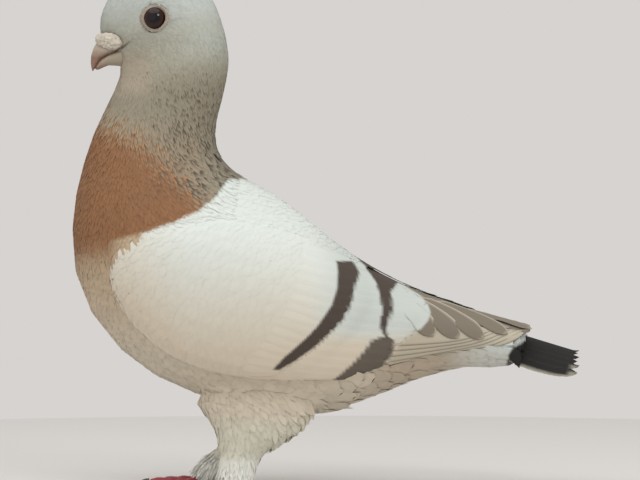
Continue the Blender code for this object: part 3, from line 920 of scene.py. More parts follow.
@dataclass(frozen=True)
class TailFinish:
    """Keratin of the tail feathers: pale grey base, broad dark band, paler outer edges and tips."""

    name: str = "tail_feather_keratin"
    pale: str = "#aeb3aa"
    dark: str = "#0c0b09"
    rim: str = "#37332d"
    rim_share: float = 0.65  # how much of its own colour a rim has
    web: str = "#a7a292"  # of the outermost feathers' edges and tips
    band: tuple[float, float] = (95.5, 99.5)  # the places along the bird where pale turns to dark
    grain: float = 300.0  # cells of noise for each metre
    shake: float = 4.0  # how far the grain moves that border
    barb_depth: float = 0.1  # of the ridges that the barbs make
    roughness: float = 0.8  # dull, as the barbs scatter light

    def build(self) -> Material:
        """Reads the colour from the place along the bird, the feathers' rims and their pale webs.

        Returns:
            The material.
        """
        made, tree, shader = new_material(self.name, self.roughness)
        place = add(tree, "ShaderNodeTexCoord").outputs["Object"]
        along = add(tree, "ShaderNodeSeparateXYZ", {}, {0: place})
        grain = add(tree, "ShaderNodeTexNoise", {}, {"Vector": place, "Scale": self.grain})
        shaken = add(tree, MATH, MULTIPLY, {0: grain, 1: self.shake * MM})
        shaken = add(tree, MATH, ADD, {0: along, 1: shaken})
        ends = {"From Min": self.band[0] * MM, "From Max": self.band[1] * MM}
        band = add(
            tree, "ShaderNodeMapRange", {"interpolation_type": "SMOOTHSTEP"}, {"Value": shaken, **ends}
        )
        marks = {
            name: add(tree, "ShaderNodeAttribute", {"attribute_name": name}).outputs["Fac"]
            for name in ("edge", "pale_web", "barbs")
        }
        rim = add(tree, MATH, MULTIPLY, {0: marks["edge"], 1: self.rim_share})
        result = linear(self.pale)
        for share, paint in ((band, self.dark), (rim, self.rim), (marks["pale_web"], self.web)):
            paints = {6: result, 7: linear(paint)}
            result = add(tree, "ShaderNodeMix", COLOURS, {0: share, **paints}).outputs[2]
        wave = add(tree, MATH, SINE, {0: marks["barbs"]})
        relief = {"Strength": 0.4, "Distance": self.barb_depth * MM, "Height": wave}
        feed(shader, {"Base Color": result, "Normal": add(tree, "ShaderNodeBump", {}, relief)})
        return made


# ---------------- small feathers, by one node tree
@dataclass(frozen=True)
class VaneShape:
    """The cut of one small feather, of length and width one."""

    rows: int = 5
    columns: int = 2
    root_power: float = 0.55  # how fast it widens from the root
    tip_power: float = 0.5  # how round the tip is; 1 is a point
    ragged: float = 0.06
    flare: float = 0.0  # how far the tip turns outwards
    bend: float = 0.05  # how far the tip turns aside
    variants: int = 3

    def outline(self, t: Array) -> Array:
        """The share of the full width at places along the feather."""
        width = (t + 0.02) ** self.root_power * (1.0 - t * 0.985) ** self.tip_power
        return width / width.max()

    def collection(self, name: str) -> Collection:
        """Makes feathers of this cut, in a collection that isn't in the scene.

        Args:
            name: of the collection and, with a number, of the feathers.

        Returns:
            The collection.
        """
        made = bpy.data.collections.new(name)
        chance = np.random.default_rng(SEED)
        for number in range(self.variants):
            t = np.linspace(0.0, 1.0, self.rows + 1)
            across = np.linspace(-1.0, 1.0, self.columns + 1)
            grid_t, grid_a = np.meshgrid(t, across, indexing="ij")
            shift = chance.uniform(-1, 1, grid_t.shape) * self.ragged * grid_t**3
            width = self.outline(t)[:, None] * grid_a * 0.5
            bend = self.bend * chance.uniform(-1, 1) * grid_t**2
            points = np.stack((width + bend, grid_t + shift, self.flare * grid_t**2), axis=-1)
            faces = grid_faces(self.rows + 1, self.columns + 1)
            mesh = new_mesh(f"{name}_{number}", points.reshape(-1, 3), faces)
            vane = np.stack((grid_a, grid_t, np.zeros_like(grid_t)), axis=-1)
            write_attribute(mesh, "vane", vane.reshape(-1, 3))
            made.objects.link(bpy.data.objects.new(mesh.name, mesh))
        return made


def grid_faces(rows: int, columns: int) -> list[tuple[int, int, int, int]]:
    """Joins a grid of points, stored row by row, into faces.

    Args:
        rows: how many rows of points there are.
        columns: how many points there are in each.

    Returns:
        The faces, facing +Z where the rows follow each other along +Y.
    """
    return [
        (r * columns + c, r * columns + c + 1, (r + 1) * columns + c + 1, (r + 1) * columns + c)
        for r in range(rows - 1)
        for c in range(columns - 1)
    ]


def ring_faces(rows: int, around: int) -> list[tuple[int, int, int, int]]:
    """Joins closed rings of points, stored ring by ring, into faces.

    Args:
        rows: how many rings there are.
        around: how many points there are in each.

    Returns:
        The faces.
    """
    starts = [(row * around, (row + 1) * around) for row in range(rows - 1)]
    return [
        (here + c, here + (c + 1) % around, after + (c + 1) % around, after + c)
        for here, after in starts
        for c in range(around)
    ]


class CoatTree:
    """The node tree that lays feathers of one cut over a patch of the surface."""

    SIZES = ("Spacing", "Length", "Width", "Depth", "Lift", "Camber")
    SOCKETS = {
        "Collection": ("Vanes",), "Object": ("Lay",), "Float": (*SIZES, "Yaw", "Free"), "Int": ("Seed",),
        "Material": ("Finish",),
    }
    CROWD = 3.5  # roots tried for each square of the spacing, before those too near are left out
    SIZE_RANGE = (0.85, 1.15)  # of single feathers, as shares of the coat's size
    READ = {
        "FLOAT_VECTOR": (BAKE_MAP, "root_uv", "vane", "lie", "heading", "lay_normal"),
        "FLOAT": ("tint", "size"),
    }

    def __init__(self) -> None:
        """Builds the tree."""
        tree = bpy.data.node_groups.new("lay_feathers", "GeometryNodeTree")
        self.tree = tree
        tree.interface.new_socket("Geometry", in_out="INPUT", socket_type="NodeSocketGeometry")
        for kind, names in self.SOCKETS.items():
            for name in names:
                tree.interface.new_socket(name, in_out="INPUT", socket_type=f"NodeSocket{kind}")
        tree.interface.new_socket("Geometry", in_out="OUTPUT", socket_type="NodeSocketGeometry")
        self.given = add(tree, "NodeGroupInput").outputs
        self.read = {
            name: add(tree, "GeometryNodeInputNamedAttribute", {"data_type": kind}, {"Name": name})
            for kind, names in self.READ.items()
            for name in names
        }
        self.place = add(tree, "GeometryNodeInputPosition")
        laid = self._laid(self._instances(self._roots()))
        patch = {0: self.read["vane"], "Scale": TUFT_PATCH / 2}
        small = add(tree, VECTOR_MATH, SCALE, patch)
        spot = add(tree, VECTOR_MATH, ADD, {0: self.read["root_uv"], 1: small})
        mapped = add(
            tree, "GeometryNodeStoreNamedAttribute", {"data_type": "FLOAT2", "domain": "CORNER"},
            {"Geometry": laid, "Name": BAKE_MAP, "Value": spot},
        )
        painted = add(
            tree, "GeometryNodeSetMaterial", {}, {"Geometry": mapped, "Material": self.given["Finish"]}
        )
        add(tree, "NodeGroupOutput", {}, {"Geometry": painted})

    def _roots(self) -> Node:
        """Spreads roots evenly over the patch.

        Returns:
            A node that gives the roots, each with its place, bake spot, tint and heading.
        """
        tree, given = self.tree, self.given
        squared = add(tree, MATH, MULTIPLY, {0: given["Spacing"], 1: given["Spacing"]})
        density = add(tree, MATH, DIVIDE, {0: self.CROWD, 1: squared})
        points = add(
            tree, "GeometryNodeDistributePointsOnFaces", {"distribute_method": "POISSON"},
            {"Mesh": given["Geometry"], "Distance Min": given["Spacing"], "Density Max": density,
             "Seed": given["Seed"]},
        )
        chance = add(tree, "FunctionNodeRandomValue", {"data_type": "FLOAT"}, {"Seed": given["Seed"]})
        sway = add(
            tree, "FunctionNodeRandomValue", VECTORS,
            {0: (-1.0, -1.0, -1.0), 1: (1.0, 1.0, 1.0), "Seed": given["Seed"]},
        )
        turn = add(tree, VECTOR_MATH, SCALE, {0: sway, "Scale": given["Yaw"]})
        heading = add(tree, VECTOR_MATH, ADD, {0: self.read["lie"], 1: turn})
        for name, kind, value in (
            ("root", "FLOAT_VECTOR", self.place),
            ("root_uv", "FLOAT_VECTOR", self.read[BAKE_MAP]),
            ("tint", "FLOAT", chance.outputs[1]),
            ("heading", "FLOAT_VECTOR", heading),
        ):
            points = add(
                tree, "GeometryNodeStoreNamedAttribute", {"data_type": kind, "domain": "POINT"},
                {"Geometry": points, "Name": name, "Value": value},
            )
        return points

    def _instances(self, points: Node) -> Node:
        """Sets feathers on the roots, flat on the surface, and realizes them.

        Args:
            points: the node that gives the roots.

        Returns:
            A node that gives the feathers.
        """
        tree, given, read = self.tree, self.given, self.read
        upright = add(
            tree, "FunctionNodeAlignRotationToVector", {"axis": "Z"}, {"Vector": read["lay_normal"]}
        )
        turned = add(
            tree, "FunctionNodeAlignRotationToVector", {"axis": "Y", "pivot_axis": "Z"},
            {"Rotation": upright, "Vector": read["heading"]},
        )
        cuts = add(
            tree, "GeometryNodeCollectionInfo", {},
            {"Collection": given["Vanes"], "Separate Children": True, "Reset Children": True},
        )
        low, high = self.SIZE_RANGE
        varied = add(tree, "ShaderNodeMapRange", {}, {"Value": read["tint"], "To Min": low, "To Max": high})
        size = add(tree, MATH, MULTIPLY, {0: read["size"], 1: varied})
        width = add(tree, MATH, MULTIPLY, {0: given["Width"], 1: size})
        length = add(tree, MATH, MULTIPLY, {0: given["Length"], 1: size})
        scale = add(tree, "ShaderNodeCombineXYZ", {}, {"X": width, "Y": length, "Z": length})
        grown = add(
            tree, "GeometryNodeInstanceOnPoints", {},
            {"Points": points, "Instance": cuts, "Pick Instance": True, "Rotation": turned, "Scale": scale},
        )
        return add(tree, "GeometryNodeRealizeInstances", {}, {"Geometry": grown})

    def _laid(self, feathers: Node) -> Node:
        """Bends feathers to the surface, with their roots under it and their tips on top.

        Args:
            feathers: the node that gives them.

        Returns:
            A node that gives the bent feathers.
        """
        tree, given, read = self.tree, self.given, self.read
        lay = add(tree, "GeometryNodeObjectInfo", {}, {"Object": given["Lay"]}).outputs["Geometry"]
        surface, normal = (
            add(tree, "GeometryNodeSampleNearestSurface", VECTORS, {"Mesh": lay, "Value": value})
            for value in (self.place, read["lay_normal"])
        )
        across, along = add(tree, "ShaderNodeSeparateXYZ", {}, {0: read["vane"]}).outputs[:2]
        # height over the surface: from the depth of the root up to the lift of the tip, less the camber
        uneven = add(tree, MATH, ADD, {0: read["tint"], 1: 0.45})
        tip = add(tree, MATH, MULTIPLY, {0: given["Lift"], 1: uneven})
        tip = add(tree, MATH, MULTIPLY, {0: tip, 1: read["size"]})
        eased = add(tree, MATH, POWER, {0: along, 1: 0.7})
        depth = add(tree, MATH, MULTIPLY, {0: given["Depth"], 1: read["size"]})
        rise = add(tree, MATH, ADD, {0: tip, 1: depth})
        rise = add(tree, MATH, MULTIPLY, {0: rise, 1: eased})
        height = add(tree, MATH, SUBTRACT, {0: rise, 1: depth})
        squared = add(tree, MATH, MULTIPLY, {0: across, 1: across})
        drop = add(tree, MATH, MULTIPLY, {0: squared, 1: given["Camber"]})
        height = add(tree, MATH, SUBTRACT, {0: height, 1: drop})
        raised = add(tree, VECTOR_MATH, SCALE, {0: normal, "Scale": height})
        hugged = add(tree, VECTOR_MATH, ADD, {0: surface, 1: raised})
        # a free feather keeps part of its own straight shape towards the tip
        late = add(tree, MATH, POWER, {0: along, 1: 1.5})
        share = add(tree, MATH, MULTIPLY, {0: given["Free"], 1: late})
        mixed = add(tree, "ShaderNodeMix", {"data_type": "VECTOR"}, {0: share, 4: hugged, 5: self.place})
        moved = add(
            tree, "GeometryNodeSetPosition", {}, {"Geometry": feathers, "Position": mixed.outputs[1]}
        )
        return add(tree, "GeometryNodeSetShadeSmooth", {}, {"Geometry": moved})

    def grow(self, name: str, patch: Object, settings: dict) -> Object:
        """Lays a coat over a patch and returns it as a plain mesh.

        Args:
            name: the name of the piece.
            patch: the part of the surface that it grows on; it is removed.
            settings: the tree's inputs by name.

        Returns:
            The piece.
        """
        modifier = patch.modifiers.new("feathers", "NODES")
        modifier.node_group = self.tree
        for item in self.tree.interface.items_tree:
            if item.in_out == "INPUT" and item.name in settings:
                modifier[item.identifier] = settings[item.name]
        patch.update_tag()
        graph = bpy.context.evaluated_depsgraph_get()
        mesh = bpy.data.meshes.new_from_object(
            patch.evaluated_get(graph), preserve_all_data_layers=True, depsgraph=graph
        )
        mesh.name = name
        patch.modifiers.clear()
        spent = patch.data
        bpy.data.objects.remove(patch)
        bpy.data.meshes.remove(spent)
        return new_object(name, mesh)


@dataclass(frozen=True)
class Coat:
    """One piece of the coat of small feathers."""

    name: str
    regions: tuple[Region, ...]
    slot: str
    spacing: float  # between roots
    length: float
    width: float
    shape: VaneShape = VaneShape()
    lift: float = 0.22  # of the tips over the surface
    depth: float = 0.9  # of the roots under it
    camber: float = 0.12  # how far the edges lie lower than the middle
    yaw: float = 0.10  # how far single feathers turn away from the lie
    free: float = 0.0  # how much of its straight shape a tip keeps, from 0 to 1
    x_range: tuple[float, float] = (-200.0, 200.0)
    z_range: tuple[float, float] = (-10.0, 400.0)
    wing: float = 0.0  # 1 where it is white wing or back


# ---------------- the plumage
@dataclass
class Plumage:
    """The skin, the coat of small feathers, and what large feathers take from them."""

    markings: Markings
    flesh: tuple[str, ...] = (
        "head", "neck", "trunk", "rump", "thigh_left", "thigh_right", "shank_left", "shank_right",
        "wing_left_shield", "wing_right_shield",
    )
    wing_ends: tuple[str, ...] = (
        "wing_left_secondaries", "wing_right_secondaries", "wing_left_primaries", "wing_right_primaries",
    )
    legs: tuple[str, ...] = ("thigh_left", "thigh_right", "shank_left", "shank_right")
    head_depth: float = 0.22  # of the skin under the outline
    leg_depth: float = 0.6
    body_depth: float = 0.9
    bare_eye: float = 6.5  # no feather roots nearer to the middle of an eye
    waver: float = 9.0  # how far the borders between pieces of the coat wander
    clear: float = 0.3  # the lowest that a feather comes to the floor
    socket: float = 1.2  # how far the skin draws back round the eyes, under the lids
    barbs: float = 60.0  # the turn of the barbs' wave over a feather's length
    coats: tuple[Coat, ...] = (
        Coat("face_feathers", (Region.HEAD,), "plumage_grey", 0.56, 2.7, 1.0,
             VaneShape(rows=3, tip_power=0.7, ragged=0.03), 0.03, 0.16, 0.01, 0.10, x_range=(-130, -92)),
        Coat("crown_feathers", (Region.HEAD, Region.NECK), "plumage_grey", 0.66, 3.6, 1.2,
             VaneShape(rows=3, tip_power=0.7, ragged=0.03), 0.03, 0.17, 0.01, 0.10,
             x_range=(-93, -40), z_range=(216, 400)),
        Coat("throat_hackles", (Region.HEAD, Region.NECK), "plumage_grey", 0.84, 6.0, 1.6,
             VaneShape(rows=4, tip_power=0.8, ragged=0.04), 0.14, 0.34, 0.04, 0.12, z_range=(198, 231)),
        Coat("neck_hackles", (Region.HEAD, Region.NECK), "plumage_ochre", 1.05, 6.8, 1.5,
             VaneShape(rows=5, tip_power=0.8, ragged=0.04), 0.22, 0.50, 0.08, 0.14, z_range=(168, 203)),
        Coat("collar_feathers", (Region.NECK, Region.TRUNK), "plumage_ochre", 1.25, 7.5, 2.0,
             VaneShape(rows=5, tip_power=0.6, ragged=0.04), 0.16, 0.55, 0.08, 0.11,
             x_range=(-200, -44), z_range=(112, 176)),
        Coat("nape_ruff", (Region.NECK, Region.TRUNK), "plumage_ochre", 2.3, 8.5, 2.3,
             VaneShape(rows=5, tip_power=0.6, ragged=0.04), 0.50, 0.8, 0.08, 0.16, 0.2,
             x_range=(-72, -48), z_range=(150, 182)),
        Coat("breast_feathers", (Region.TRUNK,), "plumage_cream", 1.9, 9.0, 4.4,
             VaneShape(rows=6, columns=2, tip_power=0.42), 0.12, 0.6, 0.08, 0.10,
             x_range=(-200, 48), z_range=(20, 118)),
        Coat("back_feathers", (Region.TRUNK, Region.RUMP), "plumage_white", 1.9, 9.0, 5.0,
             VaneShape(rows=6, columns=2, tip_power=0.42), 0.08, 0.45, 0.04, 0.08,
             x_range=(-50, 44), z_range=(88, 200), wing=1.0),
        Coat("rump_feathers", (Region.RUMP,), "plumage_cream", 2.1, 13.0, 6.0,
             VaneShape(rows=7, columns=2), 0.25, 0.8, 0.10, 0.10, x_range=(38, 93)),
        Coat("vent_feathers", (Region.TRUNK, Region.RUMP), "plumage_cream", 3.0, 12.0, 6.0,
             VaneShape(rows=6, columns=4, tip_power=0.5, ragged=0.07), 0.10, 0.55, 0.04, 0.16, 0.10,
             x_range=(-18, 72), z_range=(20, 62)),
        Coat("vent_tufts", (Region.TRUNK, Region.RUMP), "plumage_cream", 6.0, 16.0, 11.0,
             VaneShape(rows=9, columns=8, tip_power=0.42, ragged=0.06, flare=0.04),
             0.55, 0.9, 0.2, 0.14, 0.45, x_range=(-10, 58), z_range=(20, 62)),
        Coat("thigh_feathers", (Region.THIGH,), "plumage_cream", 1.6, 8.0, 2.6,
             VaneShape(rows=5, tip_power=0.7), 0.22, 0.6, 0.08, 0.16),
        Coat("thigh_tufts", (Region.THIGH,), "plumage_cream", 1.9, 12.0, 3.2,
             VaneShape(rows=7, columns=2, tip_power=0.6, ragged=0.05), 0.50, 0.8, 0.08, 0.22, 0.25,
             x_range=(-27, 20), z_range=(27, 60)),
        Coat("boot_feathers", (Region.SHANK,), "plumage_white", 1.1, 7.0, 1.6,
             VaneShape(rows=5, tip_power=0.8, flare=0.16), 0.35, 0.5, 0.06, 0.26, 0.5, z_range=(5.0, 40)),
        Coat("wing_coverts", (Region.SHIELD,), "plumage_white", 2.2, 10.0, 7.2,
             VaneShape(rows=6, columns=4, tip_power=0.36, ragged=0.015), 0.05, 0.5, 0.05, 0.05, wing=1.0),
    )

    def __post_init__(self) -> None:
        """Prepares the finish, and the surface that the feathers lie on."""
        self.finish = PlumageFinish().build()
        self.lay = LaySurface("lay_surface", self.flesh + self.wing_ends)
        self.lay.set_lie(BODY_LIE, LEG_LIE, self.legs)
        self.lay.unwrap()
        write_attribute(self.lay.object.data, "size", self._sizes())

    def _sizes(self) -> Array:
        """Works out how large small feathers are: smallest at the bill, the eyes and the wing's front edge.

        Returns:
            A share of the coat's size for each vertex of the surface.
        """
        x, z = self.lay.points[:, 0] / MM, self.lay.points[:, 2] / MM
        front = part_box("head")[0][0] / MM
        face = 0.62 + 0.38 * smooth_step(0.0, 14.0, x - front)
        size = np.where(self.lay.node_mask(Region.HEAD), face, 1.0)
        size *= 1.0 - 0.42 * smooth_step(196.0, 226.0, z) * smooth_step(252.0, 234.0, z)
        for gap in self._eye_gaps():
            size *= 0.35 + 0.65 * smooth_step(self.bare_eye, 12.0, gap)
        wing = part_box("wing_left_shield")[0]
        edge = smooth_step(0.0, 34.0, x - wing[0] / MM) * smooth_step(0.0, 22.0, z - wing[2] / MM)
        return np.where(self.lay.node_mask(Region.SHIELD), size * (0.62 + 0.38 * edge), size)

    def _eye_gaps(self) -> list[Array]:
        """Measures how far the surface is from the middle of each eye.

        Returns:
            For each eye, the distance of every vertex in millimetres.
        """
        middles = [np.mean(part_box(name), axis=0) for name in ("eye_left", "eye_right")]
        return [np.linalg.norm(self.lay.points - middle, axis=1) / MM for middle in middles]

    def paint(self, mesh: Mesh, wing: Array | float, tone: Array | float = 0.0, buff: float = 0.0) -> None:
        """Stores the markings on a mesh.

        Args:
            mesh: a piece, with the attributes root, tint and vane if it is feathers.
            wing: 1 for the white wings and back, for each vertex or for all.
            tone: how much of the flight feathers' grey-brown it has beyond the white.
            buff: the same for the buff of the outermost ones.
        """
        points = read_points(mesh)
        count = len(points)
        if "root" in mesh.attributes:
            root = read(mesh.attributes["root"].data, "vector", 3)
            tint = read(mesh.attributes["tint"].data, "value", 1)
            vane = read(mesh.attributes["vane"].data, "vector", 3)
        else:
            root, tint, vane = points, np.full(count, 0.5), np.zeros((count, 3))
            write_attribute(mesh, "tint", tint)
        masks = self.markings.masks(points, root, tint, vane, np.broadcast_to(wing, (count,)))
        masks["buff"] = masks["flight"] * buff
        masks["flight"] = masks["flight"] * tone
        masks["barbs"] = (vane[:, 1] + 0.5 * np.abs(vane[:, 0])) * self.barbs
        for name, values in masks.items():
            write_attribute(mesh, name, values)

    def build_skin(self) -> None:
        """Makes one skin for all flesh, inside the feathers' outline by their depth."""
        mesh = self.lay.object.data.copy()
        mesh.name = "skin"
        head = self.lay.node_mask(Region.HEAD)
        legs = self.lay.node_mask(Region.THIGH, Region.SHANK)
        depth = np.where(head, self.head_depth, np.where(legs, self.leg_depth, self.body_depth))
        depth = evened(mesh, depth[:, None], 6)
        for gap in self._eye_gaps():
            depth = depth + self.socket * smooth_step(8.4, 7.0, gap)[:, None]
        points = self.lay.points - self.lay.normals * depth * MM
        place_points(mesh, points)
        mesh.shade_smooth()
        skin = new_object("skin", mesh, self.finish)
        long_feathers = self.lay.node_mask(Region.SECONDARIES, Region.PRIMARIES).astype(float)
        self.paint(mesh, self._wing_share(), long_feathers)
        finished(skin, self.flesh)

    def _wing_share(self) -> Array:
        """Finds the wings and the back between them.

        Returns:
            A number from 0 to 1 for each vertex of the surface.
        """
        wings = self.lay.node_mask(Region.SHIELD, Region.SECONDARIES, Region.PRIMARIES).astype(float)
        back = self.lay.node_mask(Region.TRUNK, Region.RUMP) & (self.lay.normals[:, 2] > 0.5)
        return np.maximum(wings, back * self._behind_neck(self.lay.points))

    @staticmethod
    def _behind_neck(points: Array) -> Array:
        """A soft step from 0 at the neck to 1 on the back."""
        return smooth_step(-62, -45, points[:, 0] / MM)

    def build_coats(self) -> None:
        """Makes the coat of small feathers, piece by piece."""
        tree = CoatTree()
        x, z = self.lay.points[:, 0] / MM, self.lay.points[:, 2] / MM
        z = z + self.waver * np.array([noise.noise(Vector(p) * 130.0) for p in self.lay.points])
        for number, coat in enumerate(self.coats):
            keep = self.lay.node_mask(*coat.regions) & ~self._bare()
            keep &= (x > coat.x_range[0]) & (x < coat.x_range[1])
            keep &= (z > coat.z_range[0]) & (z < coat.z_range[1])
            if Region.TRUNK in coat.regions and not coat.wing:
                keep &= (self._faces_up(self.lay.points) < 0.5) | (x < -50.0)
            settings = {size: getattr(coat, size.lower()) * MM for size in tree.SIZES} | {
                "Vanes": coat.shape.collection(coat.name + "_cut"), "Lay": self.lay.object,
                "Yaw": coat.yaw, "Free": coat.free, "Seed": SEED + number, "Finish": self.finish,
            }
            piece = tree.grow(coat.name, self.lay.patch(coat.name + "_patch", keep), settings)
            points = read_points(piece.data)
            points[:, 2] = np.maximum(points[:, 2], self.clear * MM)
            place_points(piece.data, points)
            wing = coat.wing
            if Region.TRUNK in coat.regions and coat.z_range[1] > 150.0:
                wing = self._behind_neck(points) * self._faces_up(points)
            self.paint(piece.data, wing)
            finished(piece)

    @staticmethod
    def _faces_up(points: Array) -> Array:
        """1 for points on the back, 0 for those on breast, belly and sides."""
        middle = along_keys(((-130, 150), (-50, 120), (40, 80)), points[:, 0] / MM)
        return (points[:, 2] / MM > middle).astype(float)

    def _bare(self) -> Array:
        """Vertices without feather roots, round the eyes."""
        return np.min(self._eye_gaps(), axis=0) < self.bare_eye


# ---------------- large feathers
@dataclass(frozen=True)
class Tract:
    """A row of large feathers of one wing, from a line of roots to a line of tips in the side view."""

    name: str
    slot: str
    count: int
    roots: tuple[tuple[float, float], ...]
    tips: tuple[tuple[float, float], ...]
    widths: tuple[float, float]  # of the first and last feather
    bow: float
    heights: tuple[float, float]  # of the first and last feather over the surface
    round_tip: float = 0.5
    root_sink: float = 1.2
    tone: float = 1.0  # how much of the flight feathers' grey-brown it has
    camber: float = 0.35
    rim: float = 1.0  # which edge is coloured: 1 the lower, -1 the upper


@dataclass(frozen=True)
class Feather:
    """One large feather, ready to be joined with others."""

    points: Array  # of its upper sheet
    vane: Array  # their places on the feather, across and along
    normals: Array  # of the surface under them
    root: Array  # its place in metres
    spot: Array  # its place on the bake map
    tint: float  # a random number from 0 to 1


class Ground(Protocol):
    """Anything that a large feather can lie on."""

    def nearest(self, points: Array) -> tuple[Array, Array]:
        """The places on it nearest to some points, and the directions outwards there."""


@dataclass
class LargeFeathers:
    """Wing and tail feathers, each a thin curved vane with a shaft."""

    plumage: Plumage
    rows: int = 40
    columns: int = 10
    thick: float = 0.10
    shaft: float = 0.12  # height of the shaft's ridge
    shaft_width: float = 0.07  # as a share of half the feather's width
    press: float = 0.22  # how far tips press down on what lies under them
    overrun: float = 0.4  # how far a feather may stand over the edge of what it lies on
    tuck_height: float = -0.2  # of the part on the back, under the small feathers
    tracts: tuple[Tract, ...] = (
        Tract("outer_primaries", "plumage_flight", 6, ((-10, 56), (-8, 81)),
              ((109.0, 84.0), (107, 84.4), (102, 84.6), (96, 84.4), (88, 84.5)),
              (8.6, 8.6), -2.6, (-0.45, 0.30), 0.8, root_sink=0.9, tone=0.12, camber=0.06),
        Tract("inner_wing", "plumage_flight", 3, ((12, 105), (16, 112.5)), ((78, 88), (97, 85.5)),
              (10, 8.5), 1.0, (-0.7, -0.6), 0.6, camber=0.1),
        Tract("primaries", "plumage_flight", 5, ((32, 104), (44, 101), (54, 99.5), (62, 96), (64, 94)),
              ((56.4, 81), (67, 80.2), (78, 79.0), (89.6, 80.6), (108.5, 84.4)),
              (11.5, 9.5), 2.2, (1.05, 0.65), 0.6, root_sink=0.9, rim=-1.0, camber=0.06),
        Tract("secondaries", "plumage_barred", 13,
              ((-30, 66), (-34, 78), (-22, 100), (-10, 114), (-8, 121)),
              ((21, 62), (33, 68), (37, 77), (44, 82), (52, 87), (55.5, 94), (53, 100), (38, 106)),
              (11, 15), -2.0, (0.25, 0.85), 0.42),
        Tract("greater_coverts", "plumage_white", 15,
              ((-52, 66), (-42, 80), (-24, 100), (-14, 118), (-12, 128)),
              ((-23, 63.5), (-5, 75.5), (10, 90), (16, 106), (18.5, 114), (15, 119.5)), (8.5, 12), -1.5,
              (0.1, 1.0), 0.40),
    )

    def __post_init__(self) -> None:
        """Takes the surface of the plumage."""
        self.lay = self.plumage.lay
        self.chance = np.random.default_rng(SEED)

    @staticmethod
    def _line(keys: tuple, count: int) -> Array:
        """Spaces places evenly along a broken line.

        Args:
            keys: the line's (x, z) points.
            count: how many places.

        Returns:
            A row of x and z for each place.
        """
        table = np.array(keys, float)
        lengths = np.concatenate(([0.0], np.cumsum(np.linalg.norm(np.diff(table, axis=0), axis=1))))
        at = np.linspace(0.0, lengths[-1], count)
        return np.stack([np.interp(at, lengths, table[:, i]) for i in range(table.shape[1])], axis=1)

    @staticmethod
    def _outline(t: Array, round_tip: float) -> Array:
        """Gives the cut of a large feather.

        Args:
            t: places along it, from 0 to 1.
            round_tip: the power of its tip's outline.

        Returns:
            The share of the full width at each place.
        """
        root = np.clip(t / 0.18, 0.12, 1.0) ** 0.5
        tip = np.clip(1.0 - ((t - 0.72) / 0.28).clip(0) ** 2.2, 0.0, 1.0) ** round_tip
        return root * np.maximum(tip, 0.04)

    def vane(
        self, centre: Array, width: float, heights: Array, surface: Ground, round_tip: float,
        ragged: float = 0.010, arch: float = 0.35, tucked: float = 1.0,
    ) -> tuple[Array, Array, Array]:
        """Shapes one feather.

        Args:
            centre: places along its shaft in metres.
            width: its full width in metres.
            heights: its height over the surface at those places, in metres.
            surface: what it lies on.
            round_tip: the power of its tip's outline.
            ragged: how far its barbs part at the tip, as a share of its length.
            arch: how far its middle stands over its edges in millimetres.
            tucked: how far the part on the bird's back goes under the small feathers there, from 0 to 1.

        Returns:
            Points of the upper sheet, their places on the feather, and the surface's normals.
        """
        rows, columns = len(centre), self.columns + 1
        _, normal = surface.nearest(centre)
        tangent = unit(np.gradient(centre, axis=0))
        cross = unit(np.cross(tangent, normal))
        t = np.linspace(0.0, 1.0, rows)
        across = np.linspace(-1.0, 1.0, columns)
        half = self._outline(t, round_tip) * width * 0.5
        notch = self.chance.uniform(-1, 1, columns) * ragged
        spread = across[None, :] * half[:, None]
        spread = spread * self._room(centre, cross, spread, surface)
        points = centre[:, None] + cross[:, None] * spread[:, :, None]
        length = np.linalg.norm(centre[-1] - centre[0])
        points += tangent[:, None] * (notch[None, :, None] * t[:, None, None] ** 6) * length
        flat = points.reshape(-1, 3)
        place, near = surface.nearest(flat)
        off = ((flat - place) * near).sum(1, keepdims=True)
        camber = arch * MM * (1.0 - np.tile(across**2, rows))
        shaft = self.shaft * MM * np.exp(-((np.tile(across, rows) / self.shaft_width) ** 2))
        rise = np.repeat(heights, columns) + camber + shaft
        tuck = smooth_step(0.40, 0.75, near[:, 2]) * tucked
        rise = rise + (self.tuck_height * MM - 0.45 * rise) * tuck
        flat = flat - near * off + near * rise[:, None]
        lower = -np.sign(cross[rows // 2, 2])
        aside = np.tile(across, rows) * lower
        return flat, np.stack((aside, np.repeat(t, columns), np.zeros(rows * columns)), axis=1), near

    def _room(self, centre: Array, cross: Array, spread: Array, surface: Ground) -> Array:
        """Works out how much of its width a feather has on either side before the surface ends.

        Args:
            centre: places along its shaft.
            cross: the direction across it at each.
            spread: how far from the shaft each of its points would lie.
            surface: what it lies on.

        Returns:
            A share from 0 to 1 for each point.
        """
        rows, columns = spread.shape
        flat = (centre[:, None] + cross[:, None] * spread[:, :, None]).reshape(-1, 3)
        place, near = surface.nearest(flat)
        gap = flat - place
        gap -= near * (gap * near).sum(1, keepdims=True)
        held = (np.linalg.norm(gap, axis=1) < self.overrun * MM).reshape(rows, columns)
        middle = columns // 2
        room = np.ones((rows, columns))
        for part in (list(range(middle - 1, -1, -1)), list(range(middle + 1, columns))):
            reach = np.cumprod(held[:, part], axis=1).sum(1) / middle
            room[:, part] = running_mean(np.maximum(reach, 0.15), 2)[:, None]
        return room

    def _sheet_faces(self) -> Array:
        """Joins the points of one feather's upper and lower sheets, with a wall round their edge.

        Returns:
            The faces.
        """
        rows, columns = self.rows + 1, self.columns + 1
        count = rows * columns
        grid = np.array(grid_faces(rows, columns))
        edge = [row * columns for row in range(rows)]
        loop = edge + list(range(count - columns + 1, count))
        loop += [start + columns - 1 for start in edge[-2::-1]] + list(range(columns - 2, 0, -1))
        wall = [(a, b, b + count, a + count) for a, b in zip(loop, loop[1:] + loop[:1])]
        return np.concatenate((grid, grid[:, ::-1] + count, wall))

